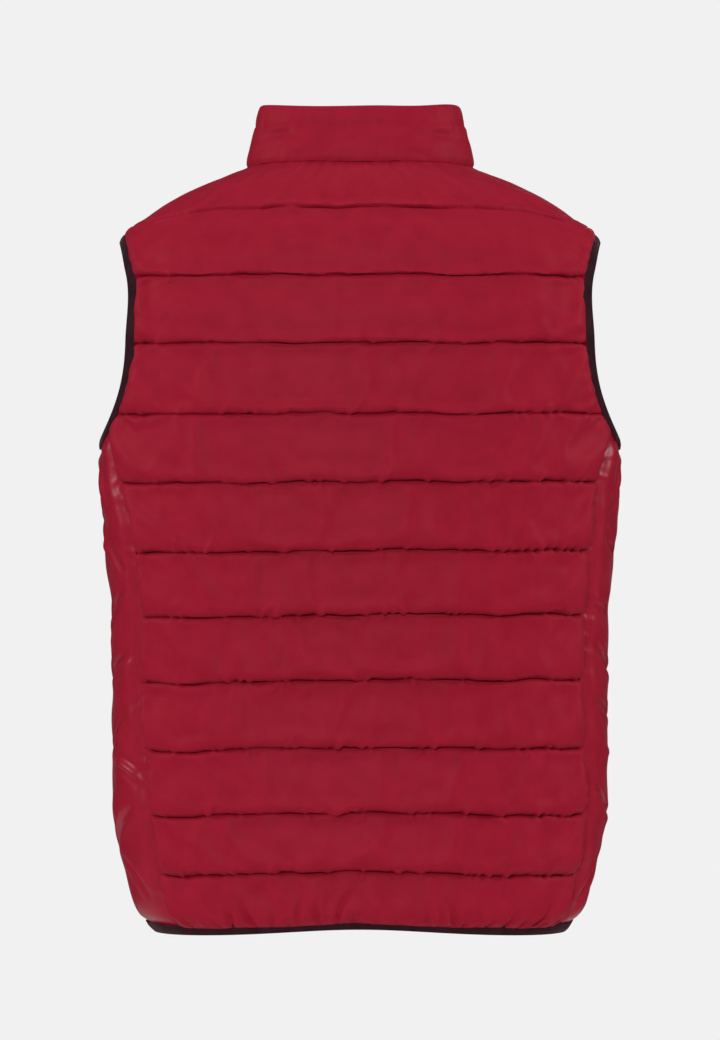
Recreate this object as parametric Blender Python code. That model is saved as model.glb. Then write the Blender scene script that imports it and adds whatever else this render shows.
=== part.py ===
"""Puffer vest, filled out as on a wearer: quilted back and fronts, smooth side panels, a stand collar,
elastic bindings round the armholes and the hem, and a front zip whose pull tab hinges on its slider.

Metres, +Z up. The front faces -Y and the wearer's left is +X. The origin is the middle of the neck
opening at the level of the back collar seam. A spot on the cloth is its distance along a level from
the centre back, and the level. Panels are cut in flat coordinates, the spot's share of the half girth
as a length and the height up the cloth, and each is then carried onto the form, where the quilted
channels puff outwards.
"""

from math import atan2, ceil, copysign, cos, pi, radians, sin
from typing import Callable, NamedTuple

import bmesh
import bpy
import numpy as np
from mathutils import Matrix, Vector
from mathutils.geometry import delaunay_2d_cdt

# --- Overall form -----------------------------------------------------------------------------------

HEM_LEVEL = -0.673
# Below this level the sides hang lower than the middle, by the droop at the hem.
DROOP_LEVEL = -0.300
HEM_DROOP = 0.010
GAP = 0.0003


class Section(NamedTuple):
    """A level of the form: half width, depth behind and before the middle, and squareness of its oval."""

    level: float
    half_width: float
    back: float
    front: float
    squareness: float


SECTIONS = (
    Section(0.030, 0.0600, 0.0500, 0.0350, 2.10),
    Section(0.000, 0.1010, 0.0680, 0.0500, 2.10),
    Section(-0.020, 0.1435, 0.0840, 0.0580, 2.15),
    Section(-0.042, 0.1850, 0.0980, 0.0670, 2.20),
    Section(-0.064, 0.2120, 0.1070, 0.0780, 2.30),
    Section(-0.100, 0.2280, 0.1160, 0.0970, 2.40),
    Section(-0.160, 0.2370, 0.1240, 0.1180, 2.40),
    Section(-0.266, 0.2328, 0.1270, 0.1290, 2.40),
    Section(-0.337, 0.2275, 0.1255, 0.1300, 2.40),
    Section(-0.407, 0.2214, 0.1220, 0.1270, 2.40),
    Section(-0.480, 0.2207, 0.1180, 0.1230, 2.40),
    Section(-0.564, 0.2207, 0.1170, 0.1200, 2.40),
    Section(-0.600, 0.2157, 0.1170, 0.1180, 2.40),
    Section(-0.634, 0.2073, 0.1155, 0.1160, 2.40),
    Section(-0.655, 0.2015, 0.1130, 0.1130, 2.40),
    Section(-0.673, 0.1890, 0.1090, 0.1090, 2.35),
    Section(-0.690, 0.1760, 0.1040, 0.1040, 2.30),
)

HEIGHT_LINE_ANGLE = radians(50)
FLAT_HALF_GIRTH = 0.55

# --- Cut of the panels ------------------------------------------------------------------------------

NECK_HALF_WIDTH = 0.101
NECK_BACK = 0.068
NECK_FRONT = 0.080
SHOULDER_SEAM_NECK_Y = -0.020
NECK_BACK_STEPS = 8
NECK_FRONT_STEPS = 5
SHOULDER_STEPS = 5

ARMHOLE_LEVEL = -0.160
ARMHOLE_HALF_HEIGHT = 0.089
ARMHOLE_HALF_WIDTH = 0.072
ARMHOLE_SQUARENESS = 2.4
ARMHOLE_STEPS = 40
ARMHOLE_BACK_SEAM = 16
ARMHOLE_SHOULDER_SEAM = -2
BINDING_WIDTH = 0.007


class SeamPoint(NamedTuple):
    """A level of a side seam and its distance behind or before the middle, on the wearer's left and right."""

    level: float
    left: float
    right: float


# The ends of these seams at the armhole come from the armhole itself.
BACK_SEAM = (
    SeamPoint(-0.290, 0.0600, 0.0650),
    SeamPoint(-0.330, 0.0697, 0.0660),
    SeamPoint(-0.400, 0.0705, 0.0650),
    SeamPoint(-0.465, 0.0660, 0.0640),
    SeamPoint(-0.540, 0.0712, 0.0600),
    SeamPoint(-0.600, 0.0735, 0.0573),
    SeamPoint(-0.673, 0.0680, 0.0550),
)
FRONT_SEAM = (
    SeamPoint(-0.290, 0.0620, 0.0620),
    SeamPoint(-0.330, 0.0680, 0.0680),
    SeamPoint(-0.465, 0.0670, 0.0670),
    SeamPoint(-0.673, 0.0600, 0.0600),
)

# Stitched rows, as levels at the centre back.
STITCH_ROWS = (-0.0435, -0.104, -0.164, -0.226, -0.286, -0.346, -0.402, -0.459, -0.518, -0.575, -0.627)

# --- Cloth ------------------------------------------------------------------------------------------

WALL = 0.0015
PUFF = 0.0085
PUFF_EDGE = 0.020
# Height in a channel, as a share from its lower row, and the share of the full puff reached there.
CHANNEL = ((0.0, 0.0), (0.28, 0.95), (0.62, 0.85), (1.0, 0.0))
# The same shares in the yoke's channel, which is long over the shoulders, and its share of the puff.
YOKE_SHARES = (0.85, 0.62, 0.42, 0.20, 0.0)
YOKE_PUFF = 0.4
COLUMN_STEP = 0.027
PLAIN_STEP = 0.034
# A row's points stay this share of a step away from the outline.
CLEAR_SHARE = 0.42
# A seam's or an edge's first level lies at least this far under its corner.
CORNER_MARGIN = 0.007
NORMAL_STEP = 0.0015

COLLAR_HEIGHT = 0.048
COLLAR_SIDE_RISE = 0.004
COLLAR_LEAN_BACK = 0.014
COLLAR_LEAN_SIDE = 0.012
COLLAR_LEAN_FRONT = 0.003
COLLAR_PUFF = 0.005
# Height on the collar as a share, and the share of the collar's puff reached there.
COLLAR_ROWS = ((0.0, 0.0), (0.22, 0.8), (0.48, 0.9), (0.70, 0.0), (0.86, 0.6), (1.0, 0.0))

HEM_BAND_HEIGHT = 0.0080
HEM_BAND_OUT = 0.0025

# --- Zip --------------------------------------------------------------------------------------------

CHAIN_HALF_WIDTH = 0.0030
CHAIN_HALF_DEPTH = 0.0013
TAPE_INNER = 0.0033
TAPE_OUTER = 0.0125
TAPE_HALF_DEPTH = 0.0005
PANEL_FRONT_EDGE = 0.0131
ZIP_LEVELS = 34
ZIP_TOP_MARGIN = 0.002

SLIDER_WIDTH = 0.0100
SLIDER_LENGTH = 0.0120
SLIDER_HALF_DEPTH = 0.0034
SLIDER_BELOW_TOP = 0.0120
SLIDER_WEDGE_HALF_WIDTH = 0.0020
BRIDGE_HALF_WIDTH = 0.0012
BRIDGE_HALF_LENGTH = 0.0040
BRIDGE_WALL = 0.0011
PIVOT_RADIUS = 0.0008
PIVOT_CLEARANCE = 0.0004
PULL_HALF_WIDTH = 0.0036
PULL_LENGTH = 0.0300
PULL_THICKNESS = 0.0016
PULL_SLOT_HALF_WIDTH = 0.0018
PULL_SLOT_LENGTH = 0.0062
STOP_SIZE = (0.0022, 0.0028, 0.0030)
STOP_BEVEL = 0.0003
SLIDER_BEVEL = 0.0007
# The slider's wedge, from and to these shares of its half length, and how deep it and the bridge reach in.
WEDGE_FROM = 0.25
WEDGE_TO = 0.90
REACH_IN = 0.80
EYE_MARGIN = 0.0010
PULL_CORNER_SHARE = 0.80

# --- Colours ----------------------------------------------------------------------------------------

SHELL_RED = (0.291, 0.0137, 0.0296)
BINDING_DARK = (0.040, 0.019, 0.023)
TAPE_DARK = (0.022, 0.010, 0.012)
TEETH_DARK = (0.030, 0.028, 0.030)
METAL_GREY = (0.180, 0.175, 0.175)


class Form:
    """The filled-out shape, a stack of rounded ovals with a smooth run from level to level."""

    SAMPLES = 121
    HEIGHT_SAMPLES = 361

    def __init__(self) -> None:
        table = np.array(sorted(SECTIONS))
        self.levels = table[:, 0]
        self.values = table[:, 1:]
        self.slopes = monotone_slopes(self.levels, self.values)
        self.cache: dict[float, tuple[np.ndarray, np.ndarray, np.ndarray, np.ndarray]] = {}
        self.height_levels = np.linspace(self.levels[0], self.levels[-1], self.HEIGHT_SAMPLES)
        slopes = [self.slope_ring(float(level)) for level in self.height_levels]
        runs = np.sqrt((np.diff(np.array(slopes), axis=0) ** 2).sum(1))
        self.heights = np.concatenate(([0.0], np.cumsum(runs)))

    def slope_ring(self, level: float) -> tuple[float, float, float]:
        """The spot of a level that the cloth's height is measured along, between the back and the side."""
        angle, x, y, _ = self.ring(level)
        at = HEIGHT_LINE_ANGLE
        return float(np.interp(at, angle, x)), float(np.interp(at, angle, y)), level

    def height(self, level: float) -> float:
        """Distance up the cloth to a level."""
        return float(np.interp(level, self.height_levels, self.heights))

    def flat(self, spot: "Spot") -> Vector:
        """A spot laid flat: its share of the half girth, as a length, and its height up the cloth."""
        return Vector((spot.along / self.half_girth(spot.level) * FLAT_HALF_GIRTH, self.height(spot.level)))

    def spot(self, flat: Vector) -> "Spot":
        """The spot that a flat point stands for."""
        level = float(np.interp(flat.y, self.heights, self.height_levels))
        return Spot(flat.x / FLAT_HALF_GIRTH * self.half_girth(level), level)

    def section(self, level: float) -> np.ndarray:
        """Half width, back depth, front depth and squareness at a level."""
        index = int(np.clip(np.searchsorted(self.levels, level) - 1, 0, len(self.levels) - 2))
        width = self.levels[index + 1] - self.levels[index]
        t = min(max((level - self.levels[index]) / width, 0.0), 1.0)
        start = (1 + 2 * t) * (1 - t) ** 2 * self.values[index]
        end = t * t * (3 - 2 * t) * self.values[index + 1]
        leaving = t * (1 - t) ** 2 * width * self.slopes[index]
        arriving = t * t * (t - 1) * width * self.slopes[index + 1]
        return start + end + leaving + arriving

    def ring(self, level: float) -> tuple[np.ndarray, np.ndarray, np.ndarray, np.ndarray]:
        """Angle, x, y and distance along the half oval from the centre back to the centre front."""
        key = round(level, 5)
        if key not in self.cache:
            half_width, back, front, squareness = self.section(level)
            angle = np.linspace(0.0, pi, self.SAMPLES)
            depth = np.where(angle <= pi / 2, back, front)
            terms = np.abs(np.sin(angle) / half_width) ** squareness
            terms = terms + np.abs(np.cos(angle) / depth) ** squareness
            radius = terms ** (-1 / squareness)
            x = radius * np.sin(angle)
            y = radius * np.cos(angle)
            steps = np.hypot(np.diff(x), np.diff(y))
            self.cache[key] = (angle, x, y, np.concatenate(([0.0], np.cumsum(steps))))
        return self.cache[key]

    def half_girth(self, level: float) -> float:
        return float(self.ring(level)[3][-1])

    def point(self, along: float, level: float) -> Vector:
        """The point at a signed distance from the centre back along a level."""
        _, x, y, distance = self.ring(level)
        reach = min(abs(along), distance[-1] * 2 - abs(along))
        px = float(np.interp(reach, distance, x))
        if abs(along) > distance[-1]:
            px = -px
        py = float(np.interp(reach, distance, y))
        down = max((DROOP_LEVEL - level) / (DROOP_LEVEL - HEM_LEVEL), 0.0)
        droop = HEM_DROOP * down * px * px / (px * px + py * py)
        return Vector((copysign(1.0, along) * px, py, level - droop))

    def normal(self, along: float, level: float) -> Vector:
        """The direction straight out of the cloth."""
        across = self.point(along + NORMAL_STEP, level) - self.point(along - NORMAL_STEP, level)
        up = self.point(along, level + NORMAL_STEP) - self.point(along, level - NORMAL_STEP)
        return up.cross(across).normalized()

    def along_at(self, x: float, y: float, level: float) -> float:
        """Distance from the centre back to the spot of a level that lies in the direction of (x, y)."""
        angle, _, _, distance = self.ring(level)
        return copysign(float(np.interp(atan2(abs(x), y), angle, distance)), x)

    def along_at_depth(self, y: float, level: float) -> float:
        """Distance from the centre back to the spot of a level at depth y, on the +X side."""
        half_width, back, front, squareness = self.section(level)
        share = min(abs(y) / (back if y > 0 else front), 1.0)
        x = half_width * (1 - share**squareness) ** (1 / squareness)
        return self.along_at(x, y, level)

    def level_under(self, x: float, y: float) -> float:
        """The level whose oval passes through (x, y) near the neck and the shoulders."""
        low = -0.12
        high = 0.03
        for _ in range(40):
            middle = (low + high) / 2
            half_width, back, front, squareness = self.section(middle)
            depth = back if y > 0 else front
            if (abs(x) / half_width) ** squareness + (abs(y) / depth) ** squareness > 1:
                high = middle
            else:
                low = middle
        return (low + high) / 2


def monotone_slopes(at: np.ndarray, values: np.ndarray) -> np.ndarray:
    """Slopes for a cubic run through a table that never overshoots it."""
    width = np.diff(at)[:, None]
    chord = np.diff(values, axis=0) / width
    slopes = np.zeros_like(values)
    slopes[0] = chord[0]
    slopes[-1] = chord[-1]
    before = chord[:-1]
    after = chord[1:]
    product = before * after
    total = before + after
    safe = np.where(total == 0, 1, total)
    slopes[1:-1] = np.where(product > 0, 2 * product / safe, 0)
    return slopes


FORM = Form()


# --- Seams, as points in flat coordinates -----------------------------------------------------------


class Spot(NamedTuple):
    """A place on a panel: distance along the level from the centre back, and the level."""

    along: float
    level: float


def channel_levels() -> list[float]:
    """Every level that a panel has a row of points on, from the neck to the hem."""
    edges = (0.0, *STITCH_ROWS, HEM_LEVEL)
    levels = [edges[0]]
    for upper, lower in zip(edges, edges[1:]):
        shares = YOKE_SHARES if upper == edges[0] else [share for share, _ in reversed(CHANNEL)][1:]
        levels += [lower + (upper - lower) * share for share in shares]
    return levels


LEVELS = channel_levels()


def signed_power(value: float, power: float) -> float:
    return copysign(abs(value) ** power, value)


def armhole_spot(index: float, margin: float = BINDING_WIDTH) -> Spot:
    """A spot of the left armhole's edge, counted from its top over the back, moved out by a margin."""
    turn = 2 * pi * index / ARMHOLE_STEPS
    power = 2 / ARMHOLE_SQUARENESS
    y = (ARMHOLE_HALF_WIDTH + margin) * signed_power(sin(turn), power)
    level = ARMHOLE_LEVEL + (ARMHOLE_HALF_HEIGHT + margin) * signed_power(cos(turn), power)
    return Spot(FORM.along_at_depth(y, level), level)


def neck_spot(turn: float) -> Spot:
    """A spot of the left half of the neckline, at an angle from the centre back in plan."""
    x = NECK_HALF_WIDTH * sin(turn)
    y = (NECK_BACK if cos(turn) > 0 else NECK_FRONT) * cos(turn)
    level = FORM.level_under(x, y)
    return Spot(FORM.along_at(x, y, level), level)


def neck_turns() -> list[float]:
    """Angles of the neckline's spots from the centre back to the zip, with one on the shoulder seam."""
    shoulder = pi / 2 + abs(SHOULDER_SEAM_NECK_Y) / NECK_FRONT
    front = pi - PANEL_FRONT_EDGE / NECK_HALF_WIDTH
    back_turns = np.linspace(0.0, shoulder, NECK_BACK_STEPS + 1)
    front_turns = np.linspace(shoulder, front, NECK_FRONT_STEPS + 1)
    return [*back_turns, *front_turns[1:]]


def shoulder_seam() -> list[Spot]:
    """From the neck to the armhole."""
    start = neck_spot(neck_turns()[NECK_BACK_STEPS])
    end = armhole_spot(ARMHOLE_SHOULDER_SEAM)
    y_start = FORM.point(*start).y
    y_end = FORM.point(*end).y
    spots = [start]
    for step in range(1, SHOULDER_STEPS):
        t = step / SHOULDER_STEPS
        level = start.level + (end.level - start.level) * t
        spots.append(Spot(FORM.along_at_depth(y_start + (y_end - y_start) * t, level), level))
    return [*spots, end]


def side_seam(table: tuple[SeamPoint, ...], side: int, facing: int) -> list[Spot]:
    """From the armhole to the hem. side is 1 on the wearer's left, facing is 1 behind and -1 before."""
    corner = ARMHOLE_BACK_SEAM if facing > 0 else ARMHOLE_STEPS - ARMHOLE_BACK_SEAM
    top = armhole_spot(corner)
    rows = [(top.level, abs(FORM.point(*top).y))]
    rows += [(row.level, row.left if side > 0 else row.right) for row in table]
    at, depth = np.array(sorted(rows)).T
    levels = [level for level in LEVELS if level < top.level - CORNER_MARGIN]
    found = [Spot(FORM.along_at_depth(facing * float(np.interp(z, at, depth)), z), z) for z in levels]
    return [top, *found]


# --- Panels -----------------------------------------------------------------------------------------


def inset(outline: list[Vector], by: float) -> list[Vector]:
    """The outline moved inwards, for one that runs anticlockwise."""
    moved = []
    for index, here in enumerate(outline):
        first = (here - outline[index - 1]).normalized()
        second = (outline[(index + 1) % len(outline)] - here).normalized()
        inward = Vector((-first.y - second.y, first.x + second.x))
        moved.append(here + inward * (by * 2 / max(inward.length_squared, 0.5)))
    return moved


def spans_at(outline: list[Vector], height: float) -> list[tuple[float, float]]:
    """The stretches at a height that lie inside a flat outline."""
    crossings = []
    for index, start in enumerate(outline):
        end = outline[(index + 1) % len(outline)]
        if (start.y > height) != (end.y > height):
            crossings.append(start.lerp(end, (height - start.y) / (end.y - start.y)).x)
    crossings.sort()
    return list(zip(crossings[::2], crossings[1::2]))


def edge_distance(outline: list[Vector], place: Vector) -> float:
    """The shortest way to a flat outline."""
    ends = np.array([tuple(point) for point in outline])
    runs = np.roll(ends, -1, axis=0) - ends
    away = np.array(tuple(place)) - ends
    t = np.clip((away * runs).sum(1) / (runs**2).sum(1), 0, 1)
    return float(np.hypot(*(away - runs * t[:, None]).T).min())


def panel_mesh(outline: list[Vector], levels: list[float], step: float) -> tuple[list[Vector], list[tuple]]:
    """Triangles over a flat outline, with rows of points on the levels."""
    points = list(outline)
    edges = [(index, (index + 1) % len(outline)) for index in range(len(outline))]
    for row, level in enumerate(levels):
        height = FORM.height(level)
        stretch = FORM.half_girth(level) / FLAT_HALF_GIRTH
        for left, right in spans_at(outline, height):
            count = max(int(ceil((right - left) * stretch / step)), 1)
            shares = [(i + 0.5 * (row % 2)) / count for i in range(count + 1 - row % 2)]
            places = [Vector((left + (right - left) * share, height)) for share in shares]
            kept = [place for place in places if edge_distance(outline, place) > CLEAR_SHARE * step]
            first = len(points)
            points += kept
            edges += [(first + i, first + i + 1) for i in range(len(kept) - 1)]
    found, _, faces, _, _, _ = delaunay_2d_cdt(points, edges, [list(range(len(outline)))], 1, 1e-7)
    return found, [tuple(face) for face in faces]


def boundary_loop(faces: list[tuple]) -> list[tuple[int, int]]:
    """The edges that only one face has, each running as its face does."""
    runs = {(face[i], face[(i + 1) % len(face)]) for face in faces for i in range(len(face))}
    return [(start, end) for start, end in runs if (end, start) not in runs]


def solid_between(name: str, outer: list[Vector], inner: list[Vector], faces: list[tuple], colour: tuple):
    """A closed solid from two skins with the same faces, wound so that the first looks outwards."""
    count = len(outer)
    walls = [(start, start + count, end + count, end) for start, end in boundary_loop(faces)]
    back = [tuple(index + count for index in reversed(face)) for face in faces]
    return new_object(name, [*outer, *inner], [*faces, *back, *walls], colour)


def new_object(name: str, points: list[Vector], faces: list[tuple], colour: tuple) -> bpy.types.Object:
    """A mesh object with its own material, faceted where its faces meet at more than a soft fold."""
    mesh = bpy.data.meshes.new(name)
    mesh.from_pydata([tuple(point) for point in points], [], faces)
    mesh.validate()
    mesh.materials.append(material(name, colour))
    mesh.shade_smooth()
    mesh.set_sharp_from_angle(angle=radians(50))
    obj = bpy.data.objects.new(name, mesh)
    bpy.context.scene.collection.objects.link(obj)
    return obj


def material(name: str, colour: tuple, roughness: float = 0.6, metallic: float = 0.0):
    """The piece's own material."""
    made = bpy.data.materials.new(name)
    made.use_nodes = True
    shader = made.node_tree.nodes["Principled BSDF"]
    shader.inputs["Base Color"].default_value = (*colour, 1.0)
    shader.inputs["Roughness"].default_value = roughness
    shader.inputs["Metallic"].default_value = metallic
    return made


def channel_share(level: float) -> float:
    """How much of the full puff a level has, 0 on a stitched row."""
    edges = np.array((HEM_LEVEL, *reversed(STITCH_ROWS), 0.0))
    index = int(np.clip(np.searchsorted(edges, level) - 1, 0, len(edges) - 2))
    share = (level - edges[index]) / (edges[index + 1] - edges[index])
    shares, heights = zip(*CHANNEL)
    full = YOKE_PUFF if index == len(edges) - 2 else 1.0
    return full * float(np.interp(share, shares, heights))


def no_puff(_level: float) -> float:
    return 0.0


def make_panel(
    name: str, outline: list[Spot], step: float, puff: Callable[[float], float], levels: list[float]
) -> bpy.types.Object:
    """A cut panel carried onto the form, with its outer skin puffed and its inner skin smooth."""
    cut = inset([FORM.flat(spot) for spot in outline], GAP / 2)
    points, faces = panel_mesh(cut, levels, step)
    neck = neck_miters()
    outer = []
    inner = []
    for point in points:
        spot = FORM.spot(point)
        place = FORM.point(*spot)
        away = edge_distance(cut, point)
        fade = min(away / PUFF_EDGE, 1.0)
        rise = PUFF * puff(spot.level) * fade
        direction = FORM.normal(*spot)
        if away < 1e-5:
            direction = miter_near(neck, place, direction)
        outer.append(place + direction * (WALL + rise))
        inner.append(place - direction * WALL)
    return solid_between(name, outer, inner, [tuple(reversed(face)) for face in faces], SHELL_RED)


class Miter(NamedTuple):
    """A spot of the neckline and the direction that parts the collar from the panel there."""

    place: Vector
    direction: Vector


def neck_miters() -> list[Miter]:
    """The neckline's miters on both sides of the garment."""
    return [Miter(column.base, column.miter) for column in collar_columns()]


def miter_near(miters: list[Miter], place: Vector, otherwise: Vector) -> Vector:
    """The miter of a spot that lies on the neckline, or else the direction given."""
    nearest = min(miters, key=lambda miter: (miter.place - place).length)
    return nearest.direction if (nearest.place - place).length < 0.001 else otherwise


# --- Collar -----------------------------------------------------------------------------------------


class Column(NamedTuple):
    """A column of the collar: its foot on the neckline, its top, its own normal and its foot's miter."""

    base: Vector
    top: Vector
    normal: Vector
    miter: Vector


def collar_columns() -> list[Column]:
    """The collar's columns from the zip on the wearer's left, round the back, to the zip on the right."""
    turns = neck_turns()
    signed = [*reversed(turns), *[-turn for turn in turns[1:]]]
    columns = []
    for turn in signed:
        side = copysign(1.0, turn)
        spot = neck_spot(abs(turn))
        base = FORM.point(*spot)
        panel_normal = FORM.normal(*spot)
        depth = NECK_BACK if cos(turn) > 0 else NECK_FRONT
        plan = Vector((sin(abs(turn)) * depth, cos(turn) * NECK_HALF_WIDTH, 0.0)).normalized()
        end_lean = COLLAR_LEAN_BACK if cos(turn) > 0 else COLLAR_LEAN_FRONT
        lean = COLLAR_LEAN_SIDE + (end_lean - COLLAR_LEAN_SIDE) * cos(turn) ** 2
        height = COLLAR_HEIGHT + COLLAR_SIDE_RISE * sin(turn) ** 2
        rise = Vector((0.0, 0.0, height)) - plan * lean
        normal = (plan + Vector((0.0, 0.0, lean / height))).normalized()
        middle = (normal + panel_normal).normalized()
        miter = middle / max(middle.dot(normal), 0.5)
        flip = Matrix.Diagonal((side, 1.0, 1.0))
        columns.append(Column(flip @ base, flip @ (base + rise), flip @ normal, flip @ miter))
    return columns


def make_collar() -> bpy.types.Object:
    """The stand collar, with a soft roll below and above its topstitched row."""
    columns = collar_columns()
    outer = []
    inner = []
    for index, column in enumerate(columns):
        ended = index in (0, len(columns) - 1)
        for row, (share, puff) in enumerate(COLLAR_ROWS):
            place = column.base.lerp(column.top, share)
            if row == 0:
                place = place + (column.top - column.base).normalized() * GAP
            direction = column.miter if row == 0 else column.normal
            rise = 0.0 if ended else COLLAR_PUFF * puff
            outer.append(place + direction * (WALL + rise))
            inner.append(place - direction * WALL)
    rows = len(COLLAR_ROWS)
    faces = []
    for column_index in range(len(columns) - 1):
        for row in range(rows - 1):
            start = column_index * rows + row
            faces.append((start, start + rows, start + rows + 1, start + 1))
    return solid_between("collar", outer, inner, faces, SHELL_RED)


# --- Bindings ---------------------------------------------------------------------------------------


def make_armhole_binding(name: str, side: int) -> bpy.types.Object:
    """The elastic band that edges an armhole, a closed loop lying on the form."""
    outer = []
    inner = []
    margins = (0.0, BINDING_WIDTH / 2, BINDING_WIDTH - GAP)
    thickness = (WALL, WALL * 1.5, WALL)
    for index in range(ARMHOLE_STEPS):
        for margin, out in zip(margins, thickness):
            spot = armhole_spot(index, margin)
            signed = Spot(side * spot.along, spot.level)
            place = FORM.point(*signed)
            direction = FORM.normal(*signed)
            outer.append(place + direction * out)
            inner.append(place - direction * WALL)
    rows = len(margins)
    faces = []
    for index in range(ARMHOLE_STEPS):
        following = (index + 1) % ARMHOLE_STEPS
        for row in range(rows - 1):
            face = (index * rows + row, following * rows + row, following * rows + row + 1, index * rows + row + 1)
            faces.append(face if side > 0 else tuple(reversed(face)))
    return solid_between(name, outer, inner, faces, BINDING_DARK)


def make_hem_binding() -> bpy.types.Object:
    """The elastic band under the hem, open at the zip."""
    levels = (HEM_LEVEL - GAP, HEM_LEVEL - HEM_BAND_HEIGHT / 2, HEM_LEVEL - HEM_BAND_HEIGHT)
    outs = (WALL, HEM_BAND_OUT, WALL)
    left, right = [[*runs[0], *runs[1][1:], *runs[2][1:]] for runs in (hem_runs(1), hem_runs(-1))]
    shares = [spot.along / left[-1].along for spot in [*reversed(mirrored(right[1:])), *left]]
    outer = []
    inner = []
    for share in shares:
        for level, out in zip(levels, outs):
            along = share * (FORM.half_girth(level) - PANEL_FRONT_EDGE)
            place = FORM.point(along, level)
            direction = FORM.normal(along, level)
            outer.append(place + direction * out)
            inner.append(place - direction * WALL)
    rows = len(levels)
    faces = []
    for column in range(len(shares) - 1):
        for row in range(rows - 1):
            start = column * rows + row
            faces.append((start, start + rows, start + rows + 1, start + 1))
    return solid_between("binding_hem", outer, inner, faces, BINDING_DARK)


# --- Zip --------------------------------------------------------------------------------------------


def zip_path() -> list[Vector]:
    """The centre-front line from the hem to the collar's top, evenly stepped."""
    neck_level = FORM.level_under(0.0, -NECK_FRONT)
    levels = np.linspace(HEM_LEVEL - HEM_BAND_HEIGHT, neck_level, ZIP_LEVELS)
    path = [Vector((0.0, -FORM.section(level)[2], level)) for level in levels]
    lean = Vector((0.0, COLLAR_LEAN_FRONT, COLLAR_HEIGHT - ZIP_TOP_MARGIN))
    foot = path[-1]
    return [*path, foot + lean * 0.5, foot + lean]


def path_normals(path: list[Vector]) -> list[Vector]:
    """Directions out of the front along the path."""
    normals = []
    for index in range(len(path)):
        run = path[min(index + 1, len(path) - 1)] - path[max(index - 1, 0)]
        normals.append(Vector((0.0, -run.z, run.y)).normalized())
    return normals


def strip_along(name: str, path: list[Vector], left: float, right: float, half: float, colour: tuple):
    """A flat strip that follows the path, from one x to another."""
    normals = path_normals(path)
    outer = []
    inner = []
    for place, normal in zip(path, normals):
        for x in (left, right):
            shifted = place + Vector((x, 0.0, 0.0))
            outer.append(shifted + normal * half)
            inner.append(shifted - normal * half)
    faces = [(2 * i, 2 * i + 1, 2 * i + 3, 2 * i + 2) for i in range(len(path) - 1)]
    return solid_between(name, outer, inner, faces, colour)


def box_mesh(low: tuple, high: tuple) -> bmesh.types.BMesh:
    """A box from corner to corner."""
    made = bmesh.new()
    bmesh.ops.create_cube(made, size=1.0)
    for vertex in made.verts:
        for axis in range(3):
            vertex.co[axis] = low[axis] if vertex.co[axis] < 0 else high[axis]
    return made


def helper_box(name: str, low: tuple, high: tuple, frame: Matrix) -> bpy.types.Object:
    """A hidden box that another piece is cut by or joined with."""
    made = box_mesh(low, high)
    mesh = bpy.data.meshes.new(name)
    made.to_mesh(mesh)
    made.free()
    obj = bpy.data.objects.new(name, mesh)
    obj.matrix_world = frame
    obj.hide_render = True
    obj.display_type = "WIRE"
    bpy.context.scene.collection.objects.link(obj)
    return obj


def combine(target: bpy.types.Object, other: bpy.types.Object, operation: str) -> None:
    """Adds or takes away another object's shape."""
    modifier = target.modifiers.new(other.name, "BOOLEAN")
    modifier.operation = operation
    modifier.solver = "EXACT"
    modifier.object = other


def slider_frame() -> Matrix:
    """The slider's place: its centre on the chain's line, its y axis into the cloth and its z axis up the zip."""
    path = zip_path()
    foot, top = path[-2], path[-1]
    up = (top - foot).normalized()
    centre = top - up * SLIDER_BELOW_TOP
    into = Vector((1.0, 0.0, 0.0)).cross(up) * -1
    rotation = Matrix((Vector((1.0, 0.0, 0.0)), into, up)).transposed()
    return Matrix.Translation(centre) @ rotation.to_4x4()


PIVOT_DEPTH = -(SLIDER_HALF_DEPTH + PIVOT_CLEARANCE + PIVOT_RADIUS)


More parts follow.
